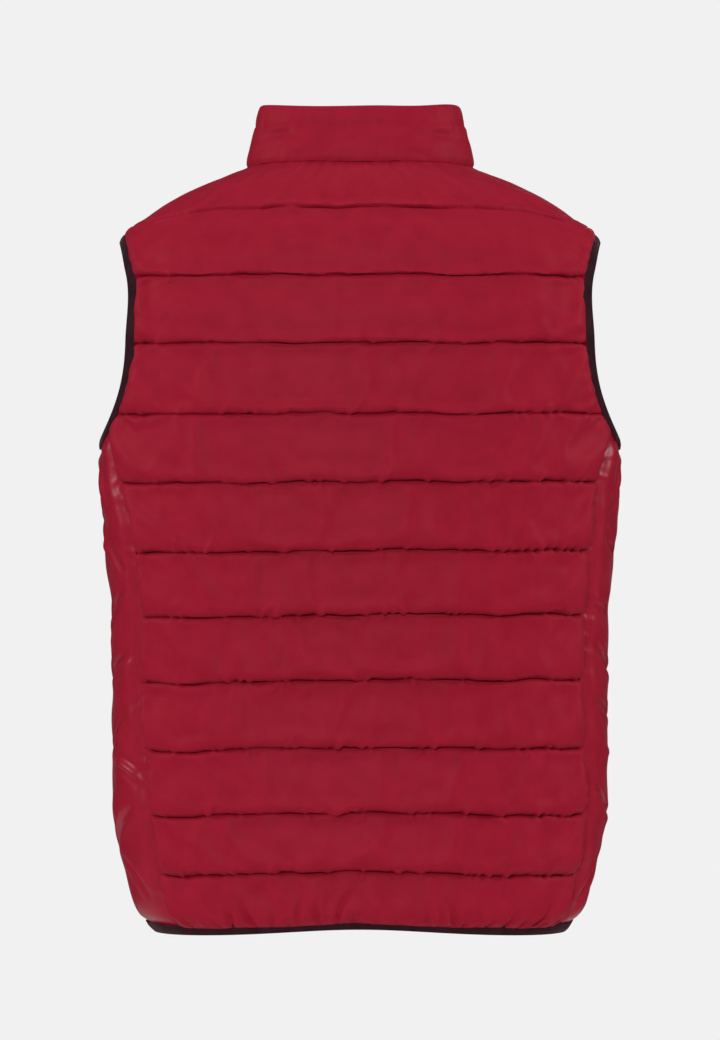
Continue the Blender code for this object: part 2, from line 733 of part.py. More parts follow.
def make_slider(frame: Matrix) -> bpy.types.Object:
    """Two plates joined by a wedge at the top, a channel for the chain, and a bridge that holds the pull tab."""
    half = SLIDER_WIDTH / 2
    length = SLIDER_LENGTH / 2
    body = box_mesh((-half, -SLIDER_HALF_DEPTH, -length), (half, SLIDER_HALF_DEPTH, length))
    rounded = [edge for edge in body.edges if abs(edge.verts[0].co.x - edge.verts[1].co.x) < 1e-9]
    bmesh.ops.bevel(body, geom=rounded, offset=SLIDER_BEVEL, segments=2, affect="EDGES")
    mesh = bpy.data.meshes.new("zip_slider")
    body.to_mesh(mesh)
    body.free()
    slider = bpy.data.objects.new("zip_slider", mesh)
    slider.matrix_world = frame
    mesh.materials.append(material("zip_slider", METAL_GREY, 0.35, 1.0))
    bpy.context.scene.collection.objects.link(slider)
    play = GAP
    channel_x = CHAIN_HALF_WIDTH + play
    channel_y = CHAIN_HALF_DEPTH + play
    slot_y = TAPE_HALF_DEPTH + play
    bridge_top = PIVOT_DEPTH - PIVOT_RADIUS - PIVOT_CLEARANCE - BRIDGE_WALL
    inner_length = PIVOT_RADIUS + PIVOT_CLEARANCE + EYE_MARGIN
    shapes = (
        ("cut_tape_slot", (-half * 2, -slot_y, -length * 2), (half * 2, slot_y, length * 2), "DIFFERENCE"),
        ("cut_chain_channel", (-channel_x, -channel_y, -length * 2), (channel_x, channel_y, length * 2), "DIFFERENCE"),
        (
            "add_wedge",
            (-SLIDER_WEDGE_HALF_WIDTH, -SLIDER_HALF_DEPTH * REACH_IN, length * WEDGE_FROM),
            (SLIDER_WEDGE_HALF_WIDTH, SLIDER_HALF_DEPTH * REACH_IN, length * WEDGE_TO),
            "UNION",
        ),
        (
            "add_bridge",
            (-BRIDGE_HALF_WIDTH, bridge_top, -BRIDGE_HALF_LENGTH),
            (BRIDGE_HALF_WIDTH, -SLIDER_HALF_DEPTH * REACH_IN, BRIDGE_HALF_LENGTH),
            "UNION",
        ),
        (
            "cut_bridge_eye",
            (-BRIDGE_HALF_WIDTH * 2, bridge_top + BRIDGE_WALL, -inner_length),
            (BRIDGE_HALF_WIDTH * 2, -SLIDER_HALF_DEPTH, inner_length),
            "DIFFERENCE",
        ),
    )
    for name, low, high, operation in shapes:
        combine(slider, helper_box(name, low, high, frame), operation)
    return slider


def make_pull(frame: Matrix) -> bpy.types.Object:
    """The pull tab, whose slot's upper bar is the pin that turns in the slider's bridge. It hangs plumb."""
    pivot = frame @ Vector((0.0, PIVOT_DEPTH, 0.0))
    holder = bpy.data.objects.new("pull_hinge", None)
    holder.location = pivot
    bpy.context.scene.collection.objects.link(holder)
    half = PULL_THICKNESS / 2
    tab = box_mesh((-PULL_HALF_WIDTH, -half, -PULL_LENGTH), (PULL_HALF_WIDTH, half, PIVOT_RADIUS))
    corners = [
        edge
        for edge in tab.edges
        if abs(edge.verts[0].co.y - edge.verts[1].co.y) > half and edge.verts[0].co.z < -half
    ]
    bmesh.ops.bevel(tab, geom=corners, offset=PULL_HALF_WIDTH * PULL_CORNER_SHARE, segments=5, affect="EDGES", profile=0.5)
    mesh = bpy.data.meshes.new("zip_pull")
    tab.to_mesh(mesh)
    tab.free()
    mesh.materials.append(material("zip_pull", METAL_GREY, 0.35, 1.0))
    pull = bpy.data.objects.new("zip_pull", mesh)
    pull.parent = holder
    bpy.context.scene.collection.objects.link(pull)
    place = Matrix.Translation(pivot)
    slot_low = (-PULL_SLOT_HALF_WIDTH, -half * 2, -PULL_SLOT_LENGTH)
    slot = helper_box("cut_pull_slot", slot_low, (PULL_SLOT_HALF_WIDTH, half * 2, -PIVOT_RADIUS), place)
    combine(pull, slot, "DIFFERENCE")
    return pull


def make_stop(name: str, centre: Vector, size: tuple) -> bpy.types.Object:
    """A small crimped stop that ends the row of teeth."""
    half = [value / 2 for value in size]
    made = box_mesh([-value for value in half], half)
    bmesh.ops.bevel(made, geom=made.edges[:], offset=STOP_BEVEL, segments=1, affect="EDGES")
    mesh = bpy.data.meshes.new(name)
    made.to_mesh(mesh)
    made.free()
    mesh.materials.append(material(name, METAL_GREY, 0.35, 1.0))
    obj = bpy.data.objects.new(name, mesh)
    obj.location = centre
    bpy.context.scene.collection.objects.link(obj)
    return obj


def make_zip() -> None:
    """Tapes, chain, slider, pull tab and stops."""
    path = zip_path()
    frame = slider_frame()
    strip_along("zip_tape_left", path, TAPE_INNER, TAPE_OUTER, TAPE_HALF_DEPTH, TAPE_DARK)
    strip_along("zip_tape_right", path, -TAPE_OUTER, -TAPE_INNER, TAPE_HALF_DEPTH, TAPE_DARK)
    up = (path[-1] - path[-2]).normalized()
    chain_foot = path[0] + (path[1] - path[0]).normalized() * (STOP_SIZE[2] + 2 * GAP)
    chain_top = frame.translation + up * (SLIDER_LENGTH / 2 * WEDGE_FROM - 2 * GAP)
    chain = [chain_foot, *path[1:-2], chain_top]
    strip_along("zip_chain", chain, -CHAIN_HALF_WIDTH, CHAIN_HALF_WIDTH, CHAIN_HALF_DEPTH, TEETH_DARK)
    make_slider(frame)
    make_pull(frame)
    bottom = path[0] + Vector((0.0, 0.0, STOP_SIZE[2] / 2 + GAP))
    make_stop("zip_stop_bottom", bottom, (CHAIN_HALF_WIDTH * 2, STOP_SIZE[1], STOP_SIZE[2] - GAP))
    for side, name in ((1, "zip_stop_left"), (-1, "zip_stop_right")):
        rise = SLIDER_LENGTH / 2 + STOP_SIZE[2] / 2 + 2 * GAP
        offset = Vector((side * (TAPE_INNER - GAP - STOP_SIZE[0] / 2), 0.0, 0.0))
        make_stop(name, frame.translation + up * rise + offset, STOP_SIZE)


# --- The garment ------------------------------------------------------------------------------------


def mirrored(spots: list[Spot]) -> list[Spot]:
    return [Spot(-spot.along, spot.level) for spot in spots]


def back_half(side: int) -> list[Spot]:
    """The back's edge on the wearer's left, in left coordinates, from the hem to the centre of the neck."""
    seam = side_seam(BACK_SEAM, side, 1)
    armhole = [armhole_spot(i) for i in range(ARMHOLE_BACK_SEAM - 1, ARMHOLE_SHOULDER_SEAM, -1)]
    shoulder = shoulder_seam()
    neck = [neck_spot(turn) for turn in neck_turns()[:NECK_BACK_STEPS]]
    return [*reversed(seam), *armhole, *reversed(shoulder), *reversed(neck)]


def hem_runs(side: int) -> tuple[list[Spot], list[Spot], list[Spot]]:
    """Spots of the hem, in left coordinates, under half the back, the side panel and a front.

    Each run holds both its corners.
    """
    corners = (
        0.0,
        side_seam(BACK_SEAM, side, 1)[-1].along,
        side_seam(FRONT_SEAM, side, -1)[-1].along,
        FORM.half_girth(HEM_LEVEL) - PANEL_FRONT_EDGE,
    )
    runs = []
    for start, end, step in zip(corners, corners[1:], (COLUMN_STEP, PLAIN_STEP, COLUMN_STEP)):
        places = np.linspace(start, end, round((end - start) / step) + 1)
        runs.append([Spot(float(place), HEM_LEVEL) for place in places])
    return tuple(runs)


def back_outline() -> list[Spot]:
    left = [*hem_runs(1)[0][:-1], *back_half(1)]
    right = mirrored([*hem_runs(-1)[0][1:-1], *back_half(-1)[:-1]])
    return [*left, *reversed(right)]


def front_outline(side: int) -> list[Spot]:
    """A front's edge in left coordinates, from the neck down the zip, round the hem and up to the neck."""
    seam = side_seam(FRONT_SEAM, side, -1)
    first = ARMHOLE_STEPS - ARMHOLE_BACK_SEAM + 1
    last = ARMHOLE_STEPS + ARMHOLE_SHOULDER_SEAM
    armhole = [armhole_spot(i) for i in range(first, last)]
    neck = [neck_spot(turn) for turn in neck_turns()[NECK_BACK_STEPS + 1 :]]
    levels = [level for level in LEVELS if level < neck[-1].level - CORNER_MARGIN]
    edge = [Spot(FORM.half_girth(level) - PANEL_FRONT_EDGE, level) for level in levels]
    hem = reversed(hem_runs(side)[2][1:-1])
    return [*edge, *hem, *reversed(seam), *armhole, *reversed(shoulder_seam()), *neck]


def side_outline(side: int) -> list[Spot]:
    """A side panel's edge, from the hem up its back seam, over under the arm and down its front seam."""
    back = side_seam(BACK_SEAM, side, 1)
    front = side_seam(FRONT_SEAM, side, -1)
    first = ARMHOLE_BACK_SEAM + 1
    last = ARMHOLE_STEPS - ARMHOLE_BACK_SEAM
    armhole = [armhole_spot(i) for i in range(first, last)]
    hem = hem_runs(side)[1][1:-1]
    return [*hem, *reversed(front), *reversed(armhole), *back]


def on_side(outline: list[Spot], side: int) -> list[Spot]:
    """An outline in left coordinates put on its own side and turned to run anticlockwise."""
    placed = [Spot(side * spot.along, spot.level) for spot in outline]
    area = 0.0
    for index, here in enumerate(placed):
        after = placed[(index + 1) % len(placed)]
        area += here.along * after.level - after.along * here.level
    return placed if area > 0 else list(reversed(placed))


def main() -> None:
    for obj in list(bpy.data.objects):
        bpy.data.objects.remove(obj)
    make_panel("back", back_outline(), COLUMN_STEP, channel_share, LEVELS)
    for side, word in ((1, "left"), (-1, "right")):
        make_panel(f"front_{word}", on_side(front_outline(side), side), COLUMN_STEP, channel_share, LEVELS)
        make_panel(f"side_panel_{word}", on_side(side_outline(side), side), PLAIN_STEP, no_puff, LEVELS[::2])
        make_armhole_binding(f"binding_armhole_{word}", side)
    make_collar()
    make_hem_binding()
    make_zip()


main()
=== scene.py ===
"""Puffer vest, filled out as on a wearer: quilted back and fronts, plain side panels, a padded stand
collar, elastic edgings round the armholes and the hem, and a front zip.

Metres, +Z up. The front faces -Y and the wearer's left is +X. A place on the cloth is given by its
share of the half girth from the centre back, negative on the wearer's right, and its level. Laid
flat it is that share times a fixed half girth, and the height up the cloth.
"""

import logging
from dataclasses import dataclass
from enum import Enum
from math import pi, radians
from typing import Callable, NamedTuple

import bmesh
import bpy
import numpy as np
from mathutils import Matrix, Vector
from mathutils.geometry import delaunay_2d_cdt


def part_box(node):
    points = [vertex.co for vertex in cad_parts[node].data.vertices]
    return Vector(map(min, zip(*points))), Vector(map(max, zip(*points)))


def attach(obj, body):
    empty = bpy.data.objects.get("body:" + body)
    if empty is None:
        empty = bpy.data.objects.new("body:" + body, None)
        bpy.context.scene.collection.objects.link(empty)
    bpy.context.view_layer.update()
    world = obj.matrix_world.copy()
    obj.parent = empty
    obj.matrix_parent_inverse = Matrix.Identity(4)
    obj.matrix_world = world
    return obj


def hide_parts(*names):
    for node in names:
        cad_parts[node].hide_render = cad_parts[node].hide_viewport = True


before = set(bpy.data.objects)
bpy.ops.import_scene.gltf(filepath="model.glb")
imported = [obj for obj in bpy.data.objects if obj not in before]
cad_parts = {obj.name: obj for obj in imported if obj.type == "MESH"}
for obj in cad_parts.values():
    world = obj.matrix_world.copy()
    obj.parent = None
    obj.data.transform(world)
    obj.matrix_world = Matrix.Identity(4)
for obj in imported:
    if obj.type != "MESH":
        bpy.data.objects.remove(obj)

LOG = logging.getLogger("puffer_vest")
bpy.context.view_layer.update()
BODY = "vest"
CLOTH_MAP = "cloth"

HEM_LEVEL = -0.673
HEM_DROOP = 0.010
DROOP_LEVEL = -0.300
WALL = 0.0015
COLLAR_SEAM_TOP = 0.012
STITCH_ROWS = (-0.0435, -0.104, -0.164, -0.226, -0.286, -0.346, -0.402, -0.459, -0.518, -0.575, -0.627)


# --- Form -------------------------------------------------------------------------------------------


class Section(NamedTuple):
    """A level of the form: half width, depth behind and before the middle, and squareness of its oval."""

    level: float
    half_width: float
    back: float
    front: float
    squareness: float


SECTIONS = (
    Section(0.030, 0.0600, 0.0500, 0.0350, 2.10),
    Section(0.000, 0.1010, 0.0680, 0.0500, 2.10),
    Section(-0.020, 0.1435, 0.0840, 0.0580, 2.15),
    Section(-0.042, 0.1850, 0.0980, 0.0670, 2.20),
    Section(-0.064, 0.2120, 0.1070, 0.0780, 2.30),
    Section(-0.100, 0.2280, 0.1160, 0.0970, 2.40),
    Section(-0.160, 0.2370, 0.1240, 0.1180, 2.40),
    Section(-0.266, 0.2328, 0.1270, 0.1290, 2.40),
    Section(-0.337, 0.2275, 0.1255, 0.1300, 2.40),
    Section(-0.407, 0.2214, 0.1220, 0.1270, 2.40),
    Section(-0.480, 0.2207, 0.1180, 0.1230, 2.40),
    Section(-0.564, 0.2207, 0.1170, 0.1200, 2.40),
    Section(-0.600, 0.2157, 0.1170, 0.1180, 2.40),
    Section(-0.634, 0.2073, 0.1155, 0.1160, 2.40),
    Section(-0.655, 0.2015, 0.1130, 0.1130, 2.40),
    Section(-0.673, 0.1890, 0.1090, 0.1090, 2.35),
    Section(-0.690, 0.1760, 0.1040, 0.1040, 2.30),
)


def smooth_run(at: np.ndarray, values: np.ndarray, wanted: np.ndarray) -> np.ndarray:
    """Reads a table on a cubic run that never overshoots it.

    Args:
        at: The table's places, rising.
        values: One row of values for each place.
        wanted: The places to read.

    Returns:
        One row for each wanted place.
    """
    width = np.diff(at)[:, None]
    chord = np.diff(values, axis=0) / width
    slopes = np.zeros_like(values)
    slopes[0], slopes[-1] = chord[0], chord[-1]
    product = chord[:-1] * chord[1:]
    total = chord[:-1] + chord[1:]
    slopes[1:-1] = np.where(product > 0, 2 * product / np.where(total == 0, 1, total), 0)
    index = np.clip(np.searchsorted(at, wanted) - 1, 0, len(at) - 2)
    width = width[index]
    t = np.clip((wanted - at[index])[:, None] / width, 0, 1)
    start = (1 + 2 * t) * (1 - t) ** 2 * values[index]
    end = t * t * (3 - 2 * t) * values[index + 1]
    leaving = t * (1 - t) ** 2 * width * slopes[index]
    return start + end + leaving + t * t * (t - 1) * width * slopes[index + 1]


class Form:
    """The filled-out shape, a stack of rounded ovals, read from a fine table."""

    LEVELS = 1301
    SHARES = 481
    ANGLES = 721
    HEIGHT_LINE = radians(50)
    FLAT_HALF_GIRTH = 0.55
    HALVINGS = 26
    NECK_LEVELS = (-0.12, 0.03)
    NORMAL_STEP = 0.003

    def __init__(self) -> None:
        """Works out the table."""
        table = np.array(sorted(SECTIONS))
        self.levels = np.linspace(table[0, 0], table[-1, 0], self.LEVELS)
        self.sections = smooth_run(table[:, 0], table[:, 1:], self.levels)
        x, y = self.oval(np.linspace(0, pi, self.ANGLES)[None])
        runs = np.hypot(np.diff(x), np.diff(y))
        distance = np.concatenate([np.zeros((self.LEVELS, 1)), np.cumsum(runs, axis=1)], axis=1)
        self.half_girth = distance[:, -1]
        shares = np.linspace(0, 1, self.SHARES)
        rows = zip(distance, x, y)
        read = [[np.interp(shares * d[-1], d, px), np.interp(shares * d[-1], d, py)] for d, px, py in rows]
        self.plans = np.array(read).transpose(0, 2, 1)
        line = np.stack([*self.oval(np.full((1, 1), self.HEIGHT_LINE)), self.levels[:, None]], axis=-1)[:, 0]
        steps = np.sqrt((np.diff(line, axis=0) ** 2).sum(1))
        self.heights = np.concatenate([[0], np.cumsum(steps)])

    def oval(self, angle: np.ndarray) -> tuple[np.ndarray, np.ndarray]:
        """The ovals of all levels at angles from the centre back."""
        half_width, back, front, squareness = self.sections.T[..., None]
        depth = np.where(angle <= pi / 2, back, front)
        terms = np.abs(np.sin(angle) / half_width) ** squareness
        terms = terms + np.abs(np.cos(angle) / depth) ** squareness
        radius = terms ** (-1 / squareness)
        return radius * np.sin(angle), radius * np.cos(angle)

    def plan(self, share: np.ndarray, level: np.ndarray) -> np.ndarray:
        """x and y of places on the form, as an array of two columns."""
        row = np.clip((level - self.levels[0]) / (self.levels[1] - self.levels[0]), 0, self.LEVELS - 1.001)
        column = np.clip(np.abs(share), 0, 0.9999) * (self.SHARES - 1)
        i, j = row.astype(int), column.astype(int)
        f, g = (row - i)[:, None], (column - j)[:, None]
        lower = self.plans[i, j] * (1 - g) + self.plans[i, j + 1] * g
        upper = self.plans[i + 1, j] * (1 - g) + self.plans[i + 1, j + 1] * g
        found = lower * (1 - f) + upper * f
        found[:, 0] *= np.where(share < 0, -1, 1)
        return found

    def place(self, share: np.ndarray, level: np.ndarray) -> np.ndarray:
        """Points of the form. Below the chest the sides hang lower than the middle, most at the hem."""
        plan = self.plan(share, level)
        share_down = np.maximum((DROOP_LEVEL - level) / (DROOP_LEVEL - HEM_LEVEL), 0)
        droop = HEM_DROOP * share_down * plan[:, 0] ** 2 / (plan**2).sum(1)
        return np.column_stack([plan, level - droop])

    def normal(self, share: np.ndarray, level: np.ndarray) -> np.ndarray:
        """Directions straight out of the cloth."""
        step = self.NORMAL_STEP
        across = self.place(share + step, level) - self.place(share - step, level)
        up = self.place(share, level + step / 2) - self.place(share, level - step / 2)
        return unit(np.cross(up, across))

    def share_where(self, wanted: np.ndarray, level: np.ndarray, measure: Callable) -> np.ndarray:
        """The share at which a measure of the plan, rising from back to front, reaches what is wanted."""
        low, high = np.zeros(len(level)), np.ones(len(level))
        for _ in range(self.HALVINGS):
            middle = (low + high) / 2
            under = measure(self.plan(middle, level)) < wanted
            low, high = np.where(under, middle, low), np.where(under, high, middle)
        return (low + high) / 2

    def share_at_depth(self, y: np.ndarray, level: np.ndarray) -> np.ndarray:
        """The share of the place at depth y on the wearer's left."""
        return self.share_where(-y, level, lambda plan: -plan[:, 1])

    def level_under(self, x: np.ndarray, y: np.ndarray) -> np.ndarray:
        """The level whose oval passes through each point of the plan, near the neck."""
        low, high = (np.full(len(x), level) for level in self.NECK_LEVELS)
        for _ in range(self.HALVINGS):
            middle = (low + high) / 2
            half_width, back, front, squareness = (np.interp(middle, self.levels, c) for c in self.sections.T)
            depth = np.where(y > 0, back, front)
            outside = np.abs(x / half_width) ** squareness + np.abs(y / depth) ** squareness > 1
            low, high = np.where(outside, low, middle), np.where(outside, middle, high)
        return (low + high) / 2

    def flat(self, spots: np.ndarray) -> np.ndarray:
        """Shares and levels laid flat."""
        heights = np.interp(spots[:, 1], self.levels, self.heights)
        return np.column_stack([spots[:, 0] * self.FLAT_HALF_GIRTH, heights])

    def spots(self, flat: np.ndarray) -> np.ndarray:
        """Shares and levels of flat points."""
        levels = np.interp(flat[:, 1], self.heights, self.levels)
        return np.column_stack([flat[:, 0] / self.FLAT_HALF_GIRTH, levels])


def unit(vectors: np.ndarray) -> np.ndarray:
    """The vectors at length one."""
    return vectors / np.maximum(np.linalg.norm(vectors, axis=-1, keepdims=True), 1e-12)


def smoothstep(t: np.ndarray) -> np.ndarray:
    """An even rise from 0 to 1."""
    t = np.clip(t, 0, 1)
    return t * t * (3 - 2 * t)


def distance_along(line: np.ndarray) -> np.ndarray:
    """The way along a line to each of its points."""
    return np.concatenate([[0], np.cumsum(np.hypot.reduce(np.diff(line, axis=0), axis=1))])


def at_distance(line: np.ndarray, distance: np.ndarray, wanted: float | np.ndarray) -> np.ndarray:
    """Points of a line at distances along it."""
    return np.array([np.interp(wanted, distance, axis) for axis in line.T]).T


FORM = Form()


class Ripple:
    """A smooth field over flat cloth, the same on each run: many faint waves in one range of lengths."""

    WAVES = 26

    def __init__(self, seed: int, shortest: float, longest: float, lean: float = 1.0) -> None:
        """Draws the waves.

        Args:
            seed: What sets the waves apart from another field's.
            shortest: The shortest wave's length.
            longest: The longest wave's length.
            lean: Over 1 makes the waves' crests run up the cloth, and under 1 round it.
        """
        draw = np.random.default_rng(seed)
        turn = draw.uniform(0, 2 * pi, self.WAVES)
        number = 2 * pi / draw.uniform(shortest, longest, self.WAVES)
        self.vectors = np.array([np.cos(turn) * number * lean, np.sin(turn) * number / lean])
        self.phase = draw.uniform(0, 2 * pi, self.WAVES)

    def at(self, flat: np.ndarray) -> np.ndarray:
        """The field's values, mostly between -1 and 1."""
        return np.sin(flat @ self.vectors + self.phase).sum(1) / np.sqrt(self.WAVES)


class Fade(Enum):
    """How a tuck's depth runs along it."""

    BOTH_ENDS = "deepest in its middle"
    FAR_END = "deepest where it starts, at a seam"


@dataclass(frozen=True)
class Tuck:
    """A soft trough with raised lips, or a ridge where its depth is under 0, in flat cloth."""

    start: tuple[float, float]
    end: tuple[float, float]
    width: float
    depth: float
    bow: float = 0.0
    fade: Fade = Fade.BOTH_ENDS


def tuck_heights(flat: np.ndarray, tucks: list[Tuck]) -> np.ndarray:
    """How far tucks move points of flat cloth outwards."""
    lip, lip_away, lip_tightness, taper_power = 0.30, 1.9, 1.4, 0.8
    heights = np.zeros(len(flat))
    for tuck in tucks:
        start = np.array(tuck.start)
        run = np.array(tuck.end) - start
        length = np.hypot(*run)
        reach = length + 4 * tuck.width
        near = np.flatnonzero((np.abs(flat - start) < reach).all(1))
        away = flat[near] - start
        along = away @ run / length**2
        across = (away[:, 0] * run[1] - away[:, 1] * run[0]) / length
        across = (across - tuck.bow * length * 4 * along * (1 - along)) / tuck.width
        if tuck.fade is Fade.BOTH_ENDS:
            taper = np.sin(pi * np.clip(along, 0, 1)) ** taper_power
        else:
            start_fade = smoothstep(1 + along * length / tuck.width / 1.5)
            taper = np.clip(1 - along, 0, 1) ** taper_power * start_fade
            taper = np.where(along > 1, 0, taper)
        lips = np.exp(-((np.abs(across) - lip_away) ** 2) * lip_tightness)
        shape = -np.exp(-(across**2)) + lip * lips
        heights[near] += tuck.depth * taper * shape
    return heights


# --- Cut --------------------------------------------------------------------------------------------


class SeamPoint(NamedTuple):
    """A level of a side seam and its distance behind or before the middle, on the wearer's left and right."""

    level: float
    left: float
    right: float


@dataclass(frozen=True)
class Cut:
    """The seams and edges that the cloth is cut to, in left coordinates."""

    neck_half_width: float = 0.101
    neck_back: float = 0.068
    neck_front: float = 0.080
    shoulder_seam_neck_y: float = -0.020
    armhole_level: float = -0.160
    armhole_half_height: float = 0.089
    armhole_half_width: float = 0.072
    armhole_squareness: float = 2.4
    armhole_from_x: float = 0.15
    back_seam_turn: float = 0.8 * pi
    front_seam_turn: float = 1.2 * pi
    shoulder_seam_turn: float = -0.1 * pi
    edging_width: float = 0.007
    edging_lap: float = 0.0025
    zip_edge: float = 0.0131
    back_seam: tuple[SeamPoint, ...] = (
        SeamPoint(-0.290, 0.0600, 0.0650),
        SeamPoint(-0.330, 0.0697, 0.0660),
        SeamPoint(-0.400, 0.0705, 0.0650),
        SeamPoint(-0.465, 0.0660, 0.0640),
        SeamPoint(-0.540, 0.0712, 0.0600),
        SeamPoint(-0.600, 0.0735, 0.0573),
        SeamPoint(-0.673, 0.0680, 0.0550),
    )
    front_seam: tuple[SeamPoint, ...] = (
        SeamPoint(-0.290, 0.0620, 0.0620),
        SeamPoint(-0.330, 0.0680, 0.0680),
        SeamPoint(-0.465, 0.0670, 0.0670),
        SeamPoint(-0.673, 0.0600, 0.0600),
    )

    def armhole(self, turn: np.ndarray, margin: np.ndarray | float) -> np.ndarray:
        """Spots round the left armhole.

        Args:
            turn: Angles from the armhole's top, over the back.
            margin: How far outside the opening they lie.

        Returns:
            Shares and levels.
        """
        power = 2 / self.armhole_squareness
        sine, cosine = np.sin(turn), np.cos(turn)
        y = (self.armhole_half_width + margin) * np.sign(sine) * np.abs(sine) ** power
        rise = np.sign(cosine) * np.abs(cosine) ** power
        level = self.armhole_level + (self.armhole_half_height + margin) * rise
        return np.column_stack([FORM.share_at_depth(y, level), level])

    def neck(self, turn: np.ndarray) -> np.ndarray:
        """Shares and levels of the left half of the neckline, at angles from the centre back."""
        depth = np.where(np.cos(turn) > 0, self.neck_back, self.neck_front)
        x, y = self.neck_half_width * np.sin(turn), depth * np.cos(turn)
        level = FORM.level_under(x, y)
        share = FORM.share_where(np.arctan2(x, y), level, lambda plan: np.arctan2(plan[:, 0], plan[:, 1]))
        return np.column_stack([share, level])

    def shoulder_turn(self) -> float:
        """The neckline's angle at the shoulder seam."""
        return pi / 2 + abs(self.shoulder_seam_neck_y) / self.neck_front

    def neck_end_turn(self) -> float:
        """The neckline's angle at the zip."""
        return pi - self.zip_edge / self.neck_half_width

    def shoulder(self) -> np.ndarray:
        """The shoulder seam, from the neck to the armhole."""
        start = self.neck(np.array([self.shoulder_turn()]))[0]
        end = self.armhole(np.array([self.shoulder_seam_turn]), self.edging_width - self.edging_lap)[0]
        ends = FORM.place(*np.array([start, end]).T)
        t = np.linspace(0, 1, 40)
        level = start[1] + (end[1] - start[1]) * t
        y = ends[0, 1] + (ends[1, 1] - ends[0, 1]) * t
        return np.column_stack([FORM.share_at_depth(y, level), level])

    def seam(self, table: tuple[SeamPoint, ...], side: int, facing: int, low: float) -> np.ndarray:
        """A side seam from the armhole down.

        Args:
            table: Its levels and depths.
            side: 1 on the wearer's left and -1 on the right.
            facing: 1 behind and -1 before.
            low: The level it ends at.

        Returns:
            Shares and levels, in left coordinates.
        """
        turn = self.back_seam_turn if facing > 0 else self.front_seam_turn
        top = self.armhole(np.array([turn]), self.edging_width - self.edging_lap)[0]
        depth = abs(FORM.place(top[:1], top[1:])[0, 1])
        rows = [(top[1], depth)] + [(p.level, p.left if side > 0 else p.right) for p in table]
        rows = np.array(sorted(rows))
        level = np.linspace(top[1], low, 200)
        y = smooth_run(rows[:, 0], rows[:, 1:], np.maximum(level, rows[0, 0]))[:, 0]
        return np.column_stack([FORM.share_at_depth(facing * y, level), level])

    def zip_line(self, low: float) -> np.ndarray:
        """A front's edge beside the zip, from the neck down."""
        top = self.neck(np.array([self.neck_end_turn()]))[0, 1]
        level = np.linspace(top, low, 200)
        girth = np.interp(level, FORM.levels, FORM.half_girth)
        return np.column_stack([1 - self.zip_edge / girth, level])


CUT = Cut()
TUCKED_HEM = HEM_LEVEL - CUT.edging_lap


def arc(first: float, last: float, count: int = 120) -> np.ndarray:
    """Evenly spaced angles."""
    return np.linspace(first, last, count)


def resampled(run: np.ndarray, step: float) -> np.ndarray:
    """A run of spots laid flat with even steps, without its last one."""
    flat = FORM.flat(run)
    distance = distance_along(flat)
    count = max(int(round(distance[-1] / step)), 1)
    return at_distance(flat, distance, np.linspace(0, distance[-1], count + 1)[:-1])


def outline_of(runs: list[np.ndarray], step: float, inset: float = 0.00015) -> np.ndarray:
    """A closed flat outline, anticlockwise, from runs that follow one another.

    Args:
        runs: Shares and levels of each run, from corner to corner.
        step: The spacing of the outline's points.
        inset: How far the edge is moved in from the seam.

    Returns:
        Flat points.
    """
    flat = np.concatenate([resampled(run, step) for run in runs])
    after = np.roll(flat, -1, axis=0)
    if (flat[:, 0] * after[:, 1] - after[:, 0] * flat[:, 1]).sum() < 0:
        flat = flat[::-1]
    ahead = unit(np.roll(flat, -1, axis=0) - flat)
    behind = unit(flat - np.roll(flat, 1, axis=0))
    inward = unit(np.column_stack([-ahead[:, 1] - behind[:, 1], ahead[:, 0] + behind[:, 0]]))
    return flat + inward * inset


def edge_distance(outline: np.ndarray, flat: np.ndarray, only: np.ndarray | None = None) -> np.ndarray:
    """The shortest way from each flat point to an outline, or to only some of its runs."""
    runs = np.roll(outline, -1, axis=0) - outline
    if only is not None:
        outline, runs = outline[only], runs[only]
    squares = (runs**2).sum(1)
    found = []
    for part in np.array_split(flat, len(flat) // 2000 + 1):
        away = part[:, None] - outline[None]
        t = np.clip((away * runs).sum(2) / squares, 0, 1)
        found.append(np.sqrt(((away - runs * t[..., None]) ** 2).sum(2)).min(1))
    return np.concatenate(found)


def in_edging(flat: np.ndarray) -> bool:
    """Whether a flat point of a panel's edge lies in the edging of an armhole or the hem."""
    share, level = FORM.spots(flat[None])[0]
    if level < HEM_LEVEL:
        return True
    place = FORM.place(np.array([abs(share)]), np.array([level]))[0]
    across = abs(place[1]) / (CUT.armhole_half_width + CUT.edging_width)
    up = abs(level - CUT.armhole_level) / (CUT.armhole_half_height + CUT.edging_width)
    at_side = abs(place[0]) > CUT.armhole_from_x
    return across**CUT.armhole_squareness + up**CUT.armhole_squareness < 1 and at_side


